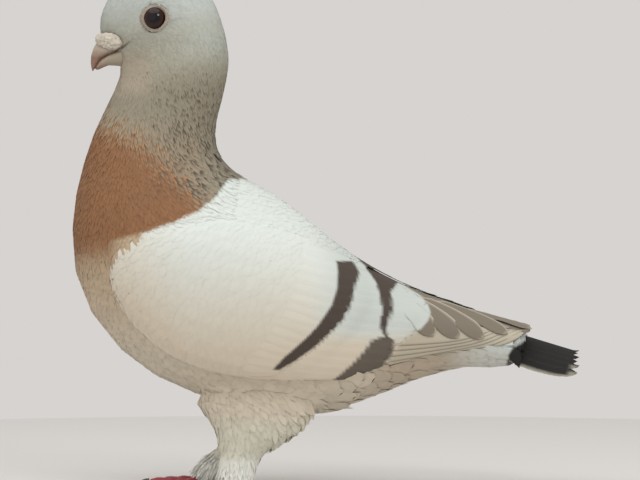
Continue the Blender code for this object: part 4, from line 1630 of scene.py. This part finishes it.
    def join(self, name: str, feathers: list[Feather], material: Material) -> Object:
        """Joins feathers into one mesh, each with an upper and a lower sheet.

        Args:
            name: of the piece.
            feathers: the feathers.
            material: its finish.

        Returns:
            The piece.
        """
        sheet = self._sheet_faces()
        count = 2 * (self.rows + 1) * (self.columns + 1)
        points = [np.concatenate((f.points, f.points - f.normals * self.thick * MM)) for f in feathers]
        faces = [sheet + number * count for number in range(len(feathers))]
        vane = np.concatenate([np.tile(f.vane, (2, 1)) for f in feathers])
        spots = np.repeat([f.spot for f in feathers], count, axis=0) + vane[:, :2] * TUFT_PATCH / 2
        mesh = new_mesh(name, np.concatenate(points), np.concatenate(faces))
        write_attribute(mesh, "vane", vane)
        write_attribute(mesh, "root", np.repeat([f.root for f in feathers], count, axis=0))
        write_attribute(mesh, "tint", np.repeat([f.tint for f in feathers], count))
        layer = mesh.uv_layers.new(name=BAKE_MAP)
        corners = read(mesh.loops, "vertex_index", 1, int)
        layer.data.foreach_set("uv", spots[corners].astype(np.float32).ravel())
        face_outwards(mesh)
        return new_object(name, mesh, material)

    def _row(self, tract: Tract, side: Side) -> list[Feather]:
        """Shapes the feathers of one row.

        Args:
            tract: the row.
            side: which wing.

        Returns:
            The feathers.
        """
        feathers = []
        roots, tips = self._line(tract.roots, tract.count), self._line(tract.tips, tract.count)
        t = np.linspace(0.0, 1.0, self.rows + 1)
        for number, (root, tip) in enumerate(zip(roots, tips)):
            share = number / (tract.count - 1)
            way = tip - root
            aside = np.array((-way[1], way[0])) / np.linalg.norm(way)
            chord = root + way * t[:, None] + aside * (tract.bow * 4.0 * t * (1.0 - t))[:, None]
            centre = np.array([self.lay.from_side(x * MM, z * MM, side) for x, z in chord])
            centre[:, 1] = running_mean(centre[:, 1], 3)
            width = (tract.widths[0] + (tract.widths[1] - tract.widths[0]) * share) * MM
            height = tract.heights[0] + (tract.heights[1] - tract.heights[0]) * share
            heights = (height - tract.root_sink * (1.0 - smooth_step(0.0, 0.6, t))) * MM
            heights = heights - self.press * MM * smooth_step(0.7, 1.0, t)
            points, vane, near = self.vane(
                centre, width, heights, self.lay, tract.round_tip, arch=tract.camber
            )
            vane[:, 0] *= tract.rim
            tint, spot = self.chance.uniform(), self.lay.bake_spot(centre[0])
            feathers.append(Feather(points, vane, near, centre[0], spot, tint))
        return feathers

    def build_wings(self) -> None:
        """Makes the rows of large feathers of both wings."""
        for tract in self.tracts:
            for side in Side:
                name = f"{tract.name}_{side.name.lower()}"
                piece = self.join(name, self._row(tract, side), self.plumage.finish)
                self.plumage.paint(piece.data, 1.0, tract.tone, 1.0 - tract.tone)
                replaced = tract.name in ("primaries", "secondaries")
                nodes = (f"wing_{side.name.lower()}_{tract.name}",) if replaced else ()
                finished(piece, nodes)


class PlateSurface:
    """The upper or under side of a CAD part, such as the thin plate of the tail."""

    REAR_IN, FRONT_IN = 1.2, 0.4  # how far inside its ends the part is measured
    ABOVE, BELOW = 0.3, -0.1  # heights over and under the whole bird, in metres
    INWARD = 0.8  # the step towards the middle where the part is missed
    SLOPE_STEP = 1.5  # on either side, to measure a slope

    def __init__(self, node: str) -> None:
        """Reads the part.

        Args:
            node: its CAD node.
        """
        work = bmesh.new()
        work.from_mesh(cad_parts[node].data)
        self.tree = BVHTree.FromBMesh(work)
        work.free()
        self.low, self.high = (np.array(corner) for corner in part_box(node))

    def height(self, x: float, y: float, under: bool = False) -> float:
        """Measures the height of the upper or under side, kept to the part's own extent.

        Args:
            x: place along the bird in metres.
            y: place across it.
            under: True for the under side.

        Returns:
            The height in metres.
        """
        x = min(max(x, self.low[0] + self.FRONT_IN * MM), self.high[0] - self.REAR_IN * MM)
        start, way = (self.BELOW, 1) if under else (self.ABOVE, -1)
        reach = self.high[1]
        while reach > MM:
            place = Vector((x, min(max(y, -reach), reach), start))
            hit = self.tree.ray_cast(place, Vector((0, 0, way)))[0]
            if hit is not None:
                return hit[2]
            reach -= self.INWARD * MM
        return self.high[2]

    def nearest(self, points: Array) -> tuple[Array, Array]:
        """Finds the places on the upper side above or below points.

        Args:
            points: places in metres.

        Returns:
            The places on the upper side, and the normals there.
        """
        places, normals = points.copy(), np.empty_like(points)
        step = self.SLOPE_STEP * MM
        for row, (x, y, _) in enumerate(points):
            places[row, 2] = self.height(x, y)
            slope_x = (self.height(x + step, y) - self.height(x - step, y)) / (2 * step)
            slope_y = (self.height(x, y + step) - self.height(x, y - step)) / (2 * step)
            normals[row] = (-slope_x, -slope_y, 1.0)
        return places, unit(normals)


@dataclass(frozen=True)
class OpenLie:
    """What feathers round the tail's base lie on: outwards is up or down, and away from the middle."""

    way: float  # 1 for the upper side, -1 for the under side
    spread: float = 12.0  # from the middle to where outwards is halfway to the side

    def nearest(self, points: Array) -> tuple[Array, Array]:
        """The points themselves, and their directions outwards."""
        return points.copy(), unit(points * (0.0, 1.0, 0.0) + (0.0, 0.0, self.way * self.spread * MM))


@dataclass
class Tail:
    """Twelve tail feathers, pale at the base and dark at the end, and the coverts that close their base."""

    large: LargeFeathers
    count: int = 12
    width: float = 8.6
    root_step: float = 1.7  # between the roots of neighbours
    overhang: float = 1.0  # of the wispy tips over the plate
    stack: float = 0.30  # each outer feather lies this much lower
    coverts: int = 13  # above the tail, and as many below
    covert_width: float = 7.5
    covert_reach: tuple[float, float] = (-18.4, 18.6)  # of the outermost coverts across the bird
    covert_root: float = 84.0  # place along the bird
    covert_tip: float = 107.5
    covert_stack: float = 0.04  # for each millimetre from the middle

    def build(self) -> None:
        """Makes the tail feathers and their coverts."""
        plate = PlateSurface("tail")
        feathers, webs = [], []
        t = np.linspace(0.0, 1.0, self.large.rows + 1)
        half = self.count / 2 - 0.5
        start, end = plate.low[0] / MM, plate.high[0] / MM
        chance = np.random.default_rng(SEED)
        for number in range(self.count):
            out = number - half
            spread = out / half
            tip_y = spread * (plate.high[1] / MM - self.width * 0.42)
            tip_x = end + self.overhang - 2.4 * spread**2 - chance.uniform(0, 1.6)
            x = start + (tip_x - start) * t
            y = out * self.root_step + (tip_y - out * self.root_step) * t
            centre = np.array([(a * MM, b * MM, plate.height(a * MM, b * MM)) for a, b in zip(x, y)])
            heights = np.full(len(t), (0.1 - self.stack * abs(out)) * MM)
            points, vane, near = self.large.vane(
                centre, self.width * MM, heights, plate, round_tip=0.44, ragged=0.014, tucked=0.0
            )
            spot = centre[0][:2] * 4.0 + 0.5
            feathers.append(Feather(points, vane, near, centre[0], spot, chance.uniform()))
            webs.append(self._pale_web(vane[:, 1], out, half))
        piece = self.large.join("tail_feathers", feathers, TailFinish().build())
        self.large.plumage.paint(piece.data, 0.0)
        write_attribute(piece.data, "pale_web", np.concatenate(webs))
        self._build_coverts(plate)
        finished(piece, ("tail",))

    def _pale_web(self, along: Array, out: float, half: float) -> Array:
        """Draws the pale tips of the outer feathers and the pale outer web of the outermost.

        Args:
            along: places along the feather, from 0 to 1.
            out: the feather's number from the middle, negative on the left.
            half: the number of the outermost.

        Returns:
            A number from 0 to 1 for each point of both sheets.
        """
        across = np.tile(np.linspace(-1.0, 1.0, self.large.columns + 1), self.large.rows + 1) * -np.sign(out)
        tip = smooth_step(0.90, 0.97, along) * smooth_step(-0.6, 0.4, across) * (abs(out) > half - 1.2)
        line = smooth_step(0.72, 0.9, across) * (abs(abs(out) - half) < 0.1)
        return np.tile(np.maximum(tip * 0.8, line), 2)

    def _build_coverts(self, plate: PlateSurface) -> None:
        """Makes pale feathers from the rump's surface down, or up, to the tail feathers.

        Args:
            plate: the tail.
        """
        rump = PlateSurface("rump")
        feathers = []
        t = np.linspace(0.0, 1.0, self.large.rows + 1)
        chance = np.random.default_rng(SEED)
        for under in (False, True):
            way = -1.0 if under else 1.0
            for y in np.linspace(*self.covert_reach, self.coverts):
                tip_x = self.covert_tip - 4.5 * (y / 18.5) ** 2 - chance.uniform(0.0, 1.2)
                tip_y = 0.84 * y
                table = np.array([
                    (x, y, rump.height(x * MM, y * MM, under) / MM + way * lift)
                    for x, lift in ((self.covert_root, -2.4), (91.0, -2.2), (96.5, -1.6), (100.5, -0.1))
                ] + [(tip_x, tip_y, plate.height(tip_x * MM, tip_y * MM, under) / MM + way * 0.5)])
                at = (table[:, 0] - table[0, 0]) / (table[-1, 0] - table[0, 0])
                centre = np.stack([np.interp(t, at, table[:, i]) for i in range(3)], axis=1)
                inner = np.stack([running_mean(centre[:, i], 4) for i in range(3)], axis=1)
                centre[1:-1] = inner[1:-1]
                centre *= MM
                heights = np.full(len(t), self.covert_stack * MM * abs(y))
                points, vane, near = self.large.vane(
                    centre, self.covert_width * MM, heights, OpenLie(way), round_tip=0.42, ragged=0.02,
                    tucked=0.0,
                )
                spot = centre[0][:2] * 4.0 + 0.3
                feathers.append(Feather(points, vane, near, centre[0], spot, chance.uniform()))
        piece = self.large.join("tail_coverts", feathers, self.large.plumage.finish)
        self.large.plumage.paint(piece.data, 0.0)
        finished(piece)


# ---------------- head, bill and feet
@dataclass
class HeadDetail:
    """Bill, cere, mouth lining, eyes and eyelids."""

    lay: LaySurface
    lid_inner: float = 5.5  # radius of the ring of lids
    lid_outer: float = 7.3
    lid_corner: float = 0.9  # how far the ring is drawn out at the corners of the eye
    lid_rise: float = 0.45
    lid_beads: int = 26
    bead_rise: float = 0.10
    lid_grid: tuple[int, int] = (9, 96)  # rings of points, and points in each
    lining_swell: float = 0.7  # closes the gap between the halves of the bill
    lining_sink: float = 1.0  # and then draws back behind them

    def build(self) -> None:
        """Makes every piece of the head that isn't feathers."""
        upper = HornFinish(
            "upper_bill_horn", ("#5f463b", "#92705f", "#86695a", "#a89b8a"), (219.5, 224.5, 229.0, 233.5)
        ).build()
        lower = HornFinish(
            "lower_bill_horn", ("#6b5145", "#96796a", "#a08a76", "#aa9a87"), (219.5, 224.0, 227.0, 230.0),
            (-117.5, -111.5, "#a09683"),
        ).build()
        # powdery bare skin over the nostrils: matt, pale and lumpy
        cere = PlainFinish("cere_skin", "#cbc6b9", "#b3a797", 0.62, 1.3, 0.12).build()
        for nodes, name, finish, slot, voxel, lump, fill in (
            (("bill_upper",), "bill_upper_horn", upper, "bill_horn", 0.32, 0.0, 0.20),
            (("bill_lower",), "bill_lower_horn", lower, "bill_horn", 0.32, 0.0, 0.50),
            (("cere_left", "cere_right"), "cere", cere, "cere_skin", 0.30, 0.75, 0.15),
        ):
            finished(self._sculpt(nodes, name, finish, voxel, 5, fill, lump), nodes)
        # moist flesh between the halves of the bill, coloured dark as painted shade because it lies deep
        lining = PlainFinish("mouth_lining", "#5e473b", "#6d5548", 0.6).build()
        nodes = ("bill_upper", "bill_lower")
        fill, swell = -self.lining_sink, self.lining_swell
        finished(self._sculpt(nodes, "mouth_lining", lining, 0.3, 4, fill, swell=swell))
        # dry beaded skin round the eye: dull and greyish
        lid = PlainFinish("eyelid_skin", "#a59b8c", "#85796b", 0.55, 0.6, 0.06).build()
        for side in Side:
            self._eye(side)
            self._lid(side, lid)

    def _eye(self, side: Side) -> None:
        """Makes the smooth ball of one eye.

        Args:
            side: which eye.
        """
        name = f"eye_{side.name.lower()}"
        low, high = (np.array(corner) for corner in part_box(name))
        centre, half = (low + high) / 2, (high - low) / 2
        mesh = bpy.data.meshes.new(f"eyeball_{side.name.lower()}")
        work = bmesh.new()
        bmesh.ops.create_uvsphere(work, u_segments=64, v_segments=40, radius=1.0)
        for vertex in work.verts:
            vertex.co = Vector(centre) + Vector(half) * vertex.co
        work.to_mesh(mesh)
        work.free()
        mesh.shade_smooth()
        finished(new_object(mesh.name, mesh, EyeFinish().build(centre, half[2])), (name,))

    @staticmethod
    def _sculpt(
        nodes: tuple[str, ...], name: str, finish: Material, voxel: float, smoothing: int,
        fill: float, lump: float = 0.0, swell: float = 0.0,
    ) -> Object:
        """Remakes CAD nodes as one even, smooth piece.

        Args:
            nodes: the CAD nodes.
            name: of the piece.
            finish: its material.
            voxel: size of a cell in millimetres.
            smoothing: rounds of smoothing.
            fill: how far it grows after that in millimetres, or shrinks where negative.
            lump: height of its lumps in millimetres.
            swell: how far the nodes grow before they are merged, in millimetres.

        Returns:
            The piece.
        """
        work = bmesh.new()
        for node in nodes:
            add_swollen(work, node, swell * MM)
        source_mesh = bpy.data.meshes.new(name)
        work.to_mesh(source_mesh)
        work.free()
        piece = new_object(name, source_mesh)
        mesh = voxel_copy(piece, voxel)
        points = evened(mesh, read_points(mesh), smoothing)
        points = points + read_points(mesh, "normal") * fill * MM
        place_points(mesh, points)
        if lump:
            coarse = np.array([noise.noise(Vector(p) * 420.0) for p in points])
            fine = np.array([noise.noise(Vector(p) * 1000.0) for p in points])
            rise = (coarse + 0.5 * fine) * lump * MM
            place_points(mesh, points + read_points(mesh, "normal") * rise[:, None])
        mesh.shade_smooth()
        piece.data = mesh
        mesh.materials.clear()
        mesh.materials.append(finish)
        return piece

    def _lid(self, side: Side, finish: Material) -> None:
        """Makes the bare ring of lids round one eye, beaded and drawn out at the corners.

        Args:
            side: which eye.
            finish: its material.
        """
        low, high = (np.array(corner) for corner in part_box(f"eye_{side.name.lower()}"))
        centre, half = (low + high) / 2, (high - low) / 2
        steps, turns = self.lid_grid
        angle = np.linspace(0.0, 2 * math.pi, turns, endpoint=False)
        points = []
        inner = abs(centre[1]) + half[1] * math.sqrt(1.0 - (self.lid_inner * MM / half[0]) ** 2)
        for u in np.linspace(0.0, 1.0, steps):
            corner = np.abs(np.cos(angle)) ** 7 * self.lid_corner * (0.2 + 0.8 * u)
            radius = self.lid_inner + (self.lid_outer - self.lid_inner) * u + corner
            bead = self.bead_rise * np.cos(self.lid_beads * angle) * math.sin(math.pi * u) ** 2
            for a, r, b in zip(angle, radius, bead):
                x, z = centre[0] + math.cos(a) * r * MM, centre[2] + math.sin(a) * r * MM
                flesh = abs(self.lay.from_side(x, z, side)[1])
                base = max(inner - 0.10 * MM + (flesh - inner) * u, flesh - 0.12 * MM)
                lift = (self.lid_rise * math.sin(math.pi * u**0.8) + b) * MM
                points.append((x, side.value * (base + lift), z))
        faces = ring_faces(steps, turns)
        if side is Side.RIGHT:
            faces = [face[::-1] for face in faces]
        mesh = new_mesh(f"eyelids_{side.name.lower()}", points, faces)
        finished(new_object(mesh.name, mesh, finish))


@dataclass
class Feet:
    """Toes with scutes above and pads below, and their claws."""

    rings: int = 44
    around: int = 18
    slices: int = 14  # in which a CAD toe is measured
    overlap: float = 1.2  # of those slices
    least: float = 2.0  # height and width of a slice without a vertex
    scute: float = 1.5  # length of one scute
    scute_rise: float = 0.22

    def build(self) -> None:
        """Makes both feet."""
        # scaly toe skin: crimson, with a faint gleam on each scute
        skin = PlainFinish("toe_skin", "#8f2f3c", "#a94650", 0.45, 0.8, 0.05).build()
        # claw horn: near black and polished by wear
        horn = PlainFinish("claw_horn", "#3d322b", "#57483d", 0.35, 1.0, 0.02).build()
        for side in Side:
            for toe in ("inner", "middle", "outer", "hind"):
                name = f"{side.name.lower()}_{toe}"
                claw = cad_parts[f"claw_{name}"]
                claw.data.materials.clear()
                claw.data.materials.append(horn)
                self._toe(name, skin)

    def _toe(self, name: str, finish: Material) -> None:
        """Makes one toe, following its CAD node.

        Args:
            name: side and toe.
            finish: its material.
        """
        points = read_points(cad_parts[f"toe_{name}"].data)
        flat = points[:, :2] - points[:, :2].mean(0)
        way = np.linalg.svd(flat, full_matrices=False)[2][0]
        foot = np.mean(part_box(f"shank_{name.split('_')[0]}"), axis=0)[:2]
        if (points[:, :2].mean(0) - foot) @ way < 0:
            way = -way
        cross = np.array((-way[1], way[0]))
        along, aside = points[:, :2] @ way, points[:, :2] @ cross
        start, end = along.min(), along.max()
        middle = aside.mean()
        edges = np.linspace(start, end, self.slices + 1)
        spots, tops, widths = [], [], []
        for low, high in zip(edges[:-1], edges[1:]):
            near = (along >= low - self.overlap * MM) & (along <= high + self.overlap * MM)
            spots.append((low + high) / 2)
            tops.append(points[near, 2].max() if near.any() else self.least * MM)
            widths.append(np.abs(aside[near] - middle).max() if near.any() else self.least * MM)
        # rings lie closer together towards both ends, which are round
        s = start + (end - start) * (1 - np.cos(np.linspace(0.02, math.pi - 0.02, self.rings))) / 2
        round_off = np.sqrt(np.clip(1 - ((s - (start + end) / 2) / ((end - start) / 2)) ** 8, 0.0, 1.0))
        scute = ((s - start) / (self.scute * MM)) % 1.0
        made = []
        for a, h, w, r, k in zip(s, np.interp(s, spots, tops), np.interp(s, spots, widths), round_off, scute):
            for angle in np.linspace(0.0, 2 * math.pi, self.around, endpoint=False):
                up, out = math.sin(angle), math.cos(angle)
                rise = self.scute_rise * MM * (0.3 + 0.7 * k) * max(up, 0.0) ** 0.5
                sunk = self.scute_rise * MM * 0.5 * max(up, 0)
                z = max(h / 2 + up * h / 2 * r - sunk + rise * r, 0.0)
                made.append((*(way * a + cross * (middle + out * w * r)), z))
        last = len(made) - 1
        caps = [tuple(range(self.around)), tuple(range(last, last - self.around, -1))]
        mesh = new_mesh(f"toe_skin_{name}", made, ring_faces(self.rings, self.around) + caps)
        face_outwards(mesh)
        finished(new_object(mesh.name, mesh, finish), (f"toe_{name}",))


# ---------------- studio
@dataclass(frozen=True)
class Lamp:
    """One soft round light, turned to the bird's middle."""

    name: str
    place: tuple[float, float, float]  # in metres
    size: float  # its diameter in metres
    power: float  # in watts

    def build(self) -> None:
        """Sets the light in the scene."""
        light = bpy.data.lights.new(self.name, "AREA")
        light.shape = "DISK"
        light.size = self.size
        light.energy = self.power
        lamp = bpy.data.objects.new(self.name, light)
        lamp.location = self.place
        aim = Vector((0.0, 0.0, 0.14)) - Vector(self.place)
        lamp.rotation_euler = aim.to_track_quat("-Z", "Y").to_euler()
        bpy.context.scene.collection.objects.link(lamp)


@dataclass(frozen=True)
class Studio:
    """Camera, floor and light."""

    distance: float = 1600.0
    aim: tuple[float, float] = (-2.4, 131.0)  # x and z
    picture_width: float = 339.2  # at the bird's middle
    sensor: float = 36.0
    floor_radius: float = 650.0
    background: str = "#d8d5d2"
    glow: float = 0.98  # strength of the background's light
    lamps: tuple[Lamp, ...] = (
        Lamp("top_light", (-0.15, -0.30, 1.1), 1.3, 5.3),
        Lamp("front_light", (-0.5, -1.2, 0.45), 1.2, 1.0),
        Lamp("side_light", (0.45, -1.05, 0.78), 0.36, 2.6),
    )

    def build(self) -> None:
        """Sets the camera, the floor, the world and the lights."""
        data = bpy.data.cameras.new("camera")
        data.sensor_width = self.sensor
        data.lens = self.sensor * self.distance / self.picture_width
        camera = bpy.data.objects.new("camera", data)
        camera.location = (self.aim[0] * MM, -self.distance * MM, self.aim[1] * MM)
        camera.rotation_euler = (math.pi / 2, 0.0, 0.0)
        bpy.context.scene.collection.objects.link(camera)
        bpy.context.scene.camera = camera
        floor_mesh = bpy.data.meshes.new("floor")
        work = bmesh.new()
        bmesh.ops.create_circle(work, cap_ends=True, segments=96, radius=self.floor_radius * MM)
        work.to_mesh(floor_mesh)
        work.free()
        # matt painted board: no shine, so that it stays plain under the lights
        floor = new_object("floor", floor_mesh, new_material("matt_board", 0.9, "#dad8d6")[0])
        world = bpy.data.worlds.new("studio")
        world.use_nodes = True
        shade = world.node_tree.nodes["Background"]
        feed(shade, {"Color": linear(self.background), "Strength": self.glow})
        bpy.context.scene.world = world
        for lamp in self.lamps:
            lamp.build()
        bpy.context.scene.view_settings.view_transform = "Standard"


def main() -> None:
    """Builds every piece in order, each of which the log names."""
    logging.basicConfig(level=logging.INFO, format="%(name)s: %(message)s")
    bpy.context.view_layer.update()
    plumage = Plumage(Markings())
    plumage.build_skin()
    plumage.build_coats()
    large = LargeFeathers(plumage)
    large.build_wings()
    Tail(large).build()
    HeadDetail(plumage.lay).build()
    Feet().build()
    bpy.data.objects.remove(plumage.lay.object)
    Studio().build()


if __name__ == "__main__":
    main()
